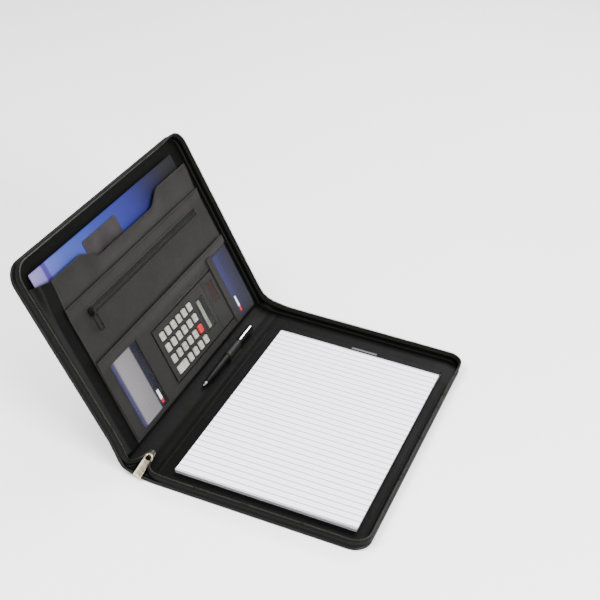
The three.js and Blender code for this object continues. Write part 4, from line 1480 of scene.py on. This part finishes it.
def add_badge():
    us, alongs, (outer, inner) = extent("front_badge")
    shape = Shape()
    rings = [(0.15, inner), (0, inner - 0.15), (0, outer + 0.35), (0.2, outer + 0.15), (0.5, outer + 0.1)]
    shape.cushion(us, alongs, 1.2, rings)
    border = rectangle((us[0] + 1.2, us[1] - 1.2), (alongs[0] + 1.2, alongs[1] - 1.2), 1.2, 3)
    shape.tube([(x, y, outer + STITCH_LEVEL) for x, y in border], 0.5, 0, True)
    piece("badge_plate", shape, [GUNMETAL], "badge_metal", "front_half", "front_badge")


def paint_boards():
    """The hidden boards keep their CAD shape and get their own finish."""
    for name in ("back_board", "front_board"):
        for slot in frame["nodes"][name].material_slots:
            slot.material = BOARD


# ------------------------------------------------------------------ camera, lights, floor

CAMERA_PLACE = (0.3472, -1.0531, 0.8913)
CAMERA_AZIMUTH = 19.8
CAMERA_ELEVATION = 33.25
CAMERA_ROLL = 4.3
CAMERA_LENS = 72.7
FLOOR_HALF_SIZE = 9
FLOOR_DROP = 0.0004


def link(name, data):
    obj = bpy.data.objects.new(name, data)
    bpy.context.scene.collection.objects.link(obj)
    return obj


def add_camera():
    data = bpy.data.cameras.new("camera")
    data.lens = CAMERA_LENS
    data.sensor_width = 36
    data.clip_end = 20
    camera = link("camera", data)
    camera.matrix_world = (
        Matrix.Translation(CAMERA_PLACE)
        @ Matrix.Rotation(math.radians(CAMERA_AZIMUTH), 4, "Z")
        @ Matrix.Rotation(math.radians(90 - CAMERA_ELEVATION), 4, "X")
        @ Matrix.Rotation(math.radians(CAMERA_ROLL), 4, "Z")
    )
    bpy.context.scene.camera = camera


def add_light(name, place, target, size, power):
    data = bpy.data.lights.new(name, "AREA")
    data.shape = "RECTANGLE"
    data.size, data.size_y = size
    data.energy = power
    light = link(name, data)
    light.location = place
    light.rotation_mode = "QUATERNION"
    light.rotation_quaternion = (Vector(target) - Vector(place)).to_track_quat("-Z", "Y")


def add_stage():
    world = bpy.data.worlds.new("studio")
    world.use_nodes = True
    background = world.node_tree.nodes["Background"]
    background.inputs["Color"].default_value = (1, 1, 1, 1)
    background.inputs["Strength"].default_value = 0.7
    bpy.context.scene.world = world
    add_light("key", (-0.9, -0.9, 1.9), (0, 0, 0.05), (1.2, 1.2), 105)
    add_light("fill", (1.7, -0.9, 0.95), (-0.15, 0, 0.12), (1.0, 1.0), 150)
    add_light("rim", (0.2, 1.6, 1.3), (0, 0, 0.1), (1.6, 0.8), 50)

    nodes = Nodes("floor")
    color = nodes.ramp(nodes.noise(3, 2), [(0.2, (246, 246, 246)), (0.8, (250, 250, 250))])
    mesh = bpy.data.meshes.new("floor")
    size = FLOOR_HALF_SIZE
    corners = [(-size, -size, 0), (size, -size, 0), (size, size, 0), (-size, size, 0)]
    mesh.from_pydata(corners, [], [(0, 1, 2, 3)])
    mesh.materials.append(nodes.finish(color, 0.7))
    floor = link("floor", mesh)
    floor.location.z = -FLOOR_DROP


add_camera()
add_stage()
add_outer_leather()
for half in HALVES:
    add_lining(half)
for half in HALVES:
    add_wall(half)
add_main_slider()
add_pad_pocket()
add_pad_block()
add_top_sheet()
add_pad_binding()
add_folder()
add_document_pocket()
add_near_gusset()
add_far_gusset()
add_zip_pocket()
add_pocket_tape()
add_pocket_slider()
add_lower_band()
add_slots()
add_business_card()
add_calculator()
for (row, column), mark in KEY_MARKS.items():
    add_key(row, column, mark)
add_pen_barrel()
add_pen_cap()
add_pen_loop()
add_badge()
paint_boards()

bpy.context.view_layer.update()
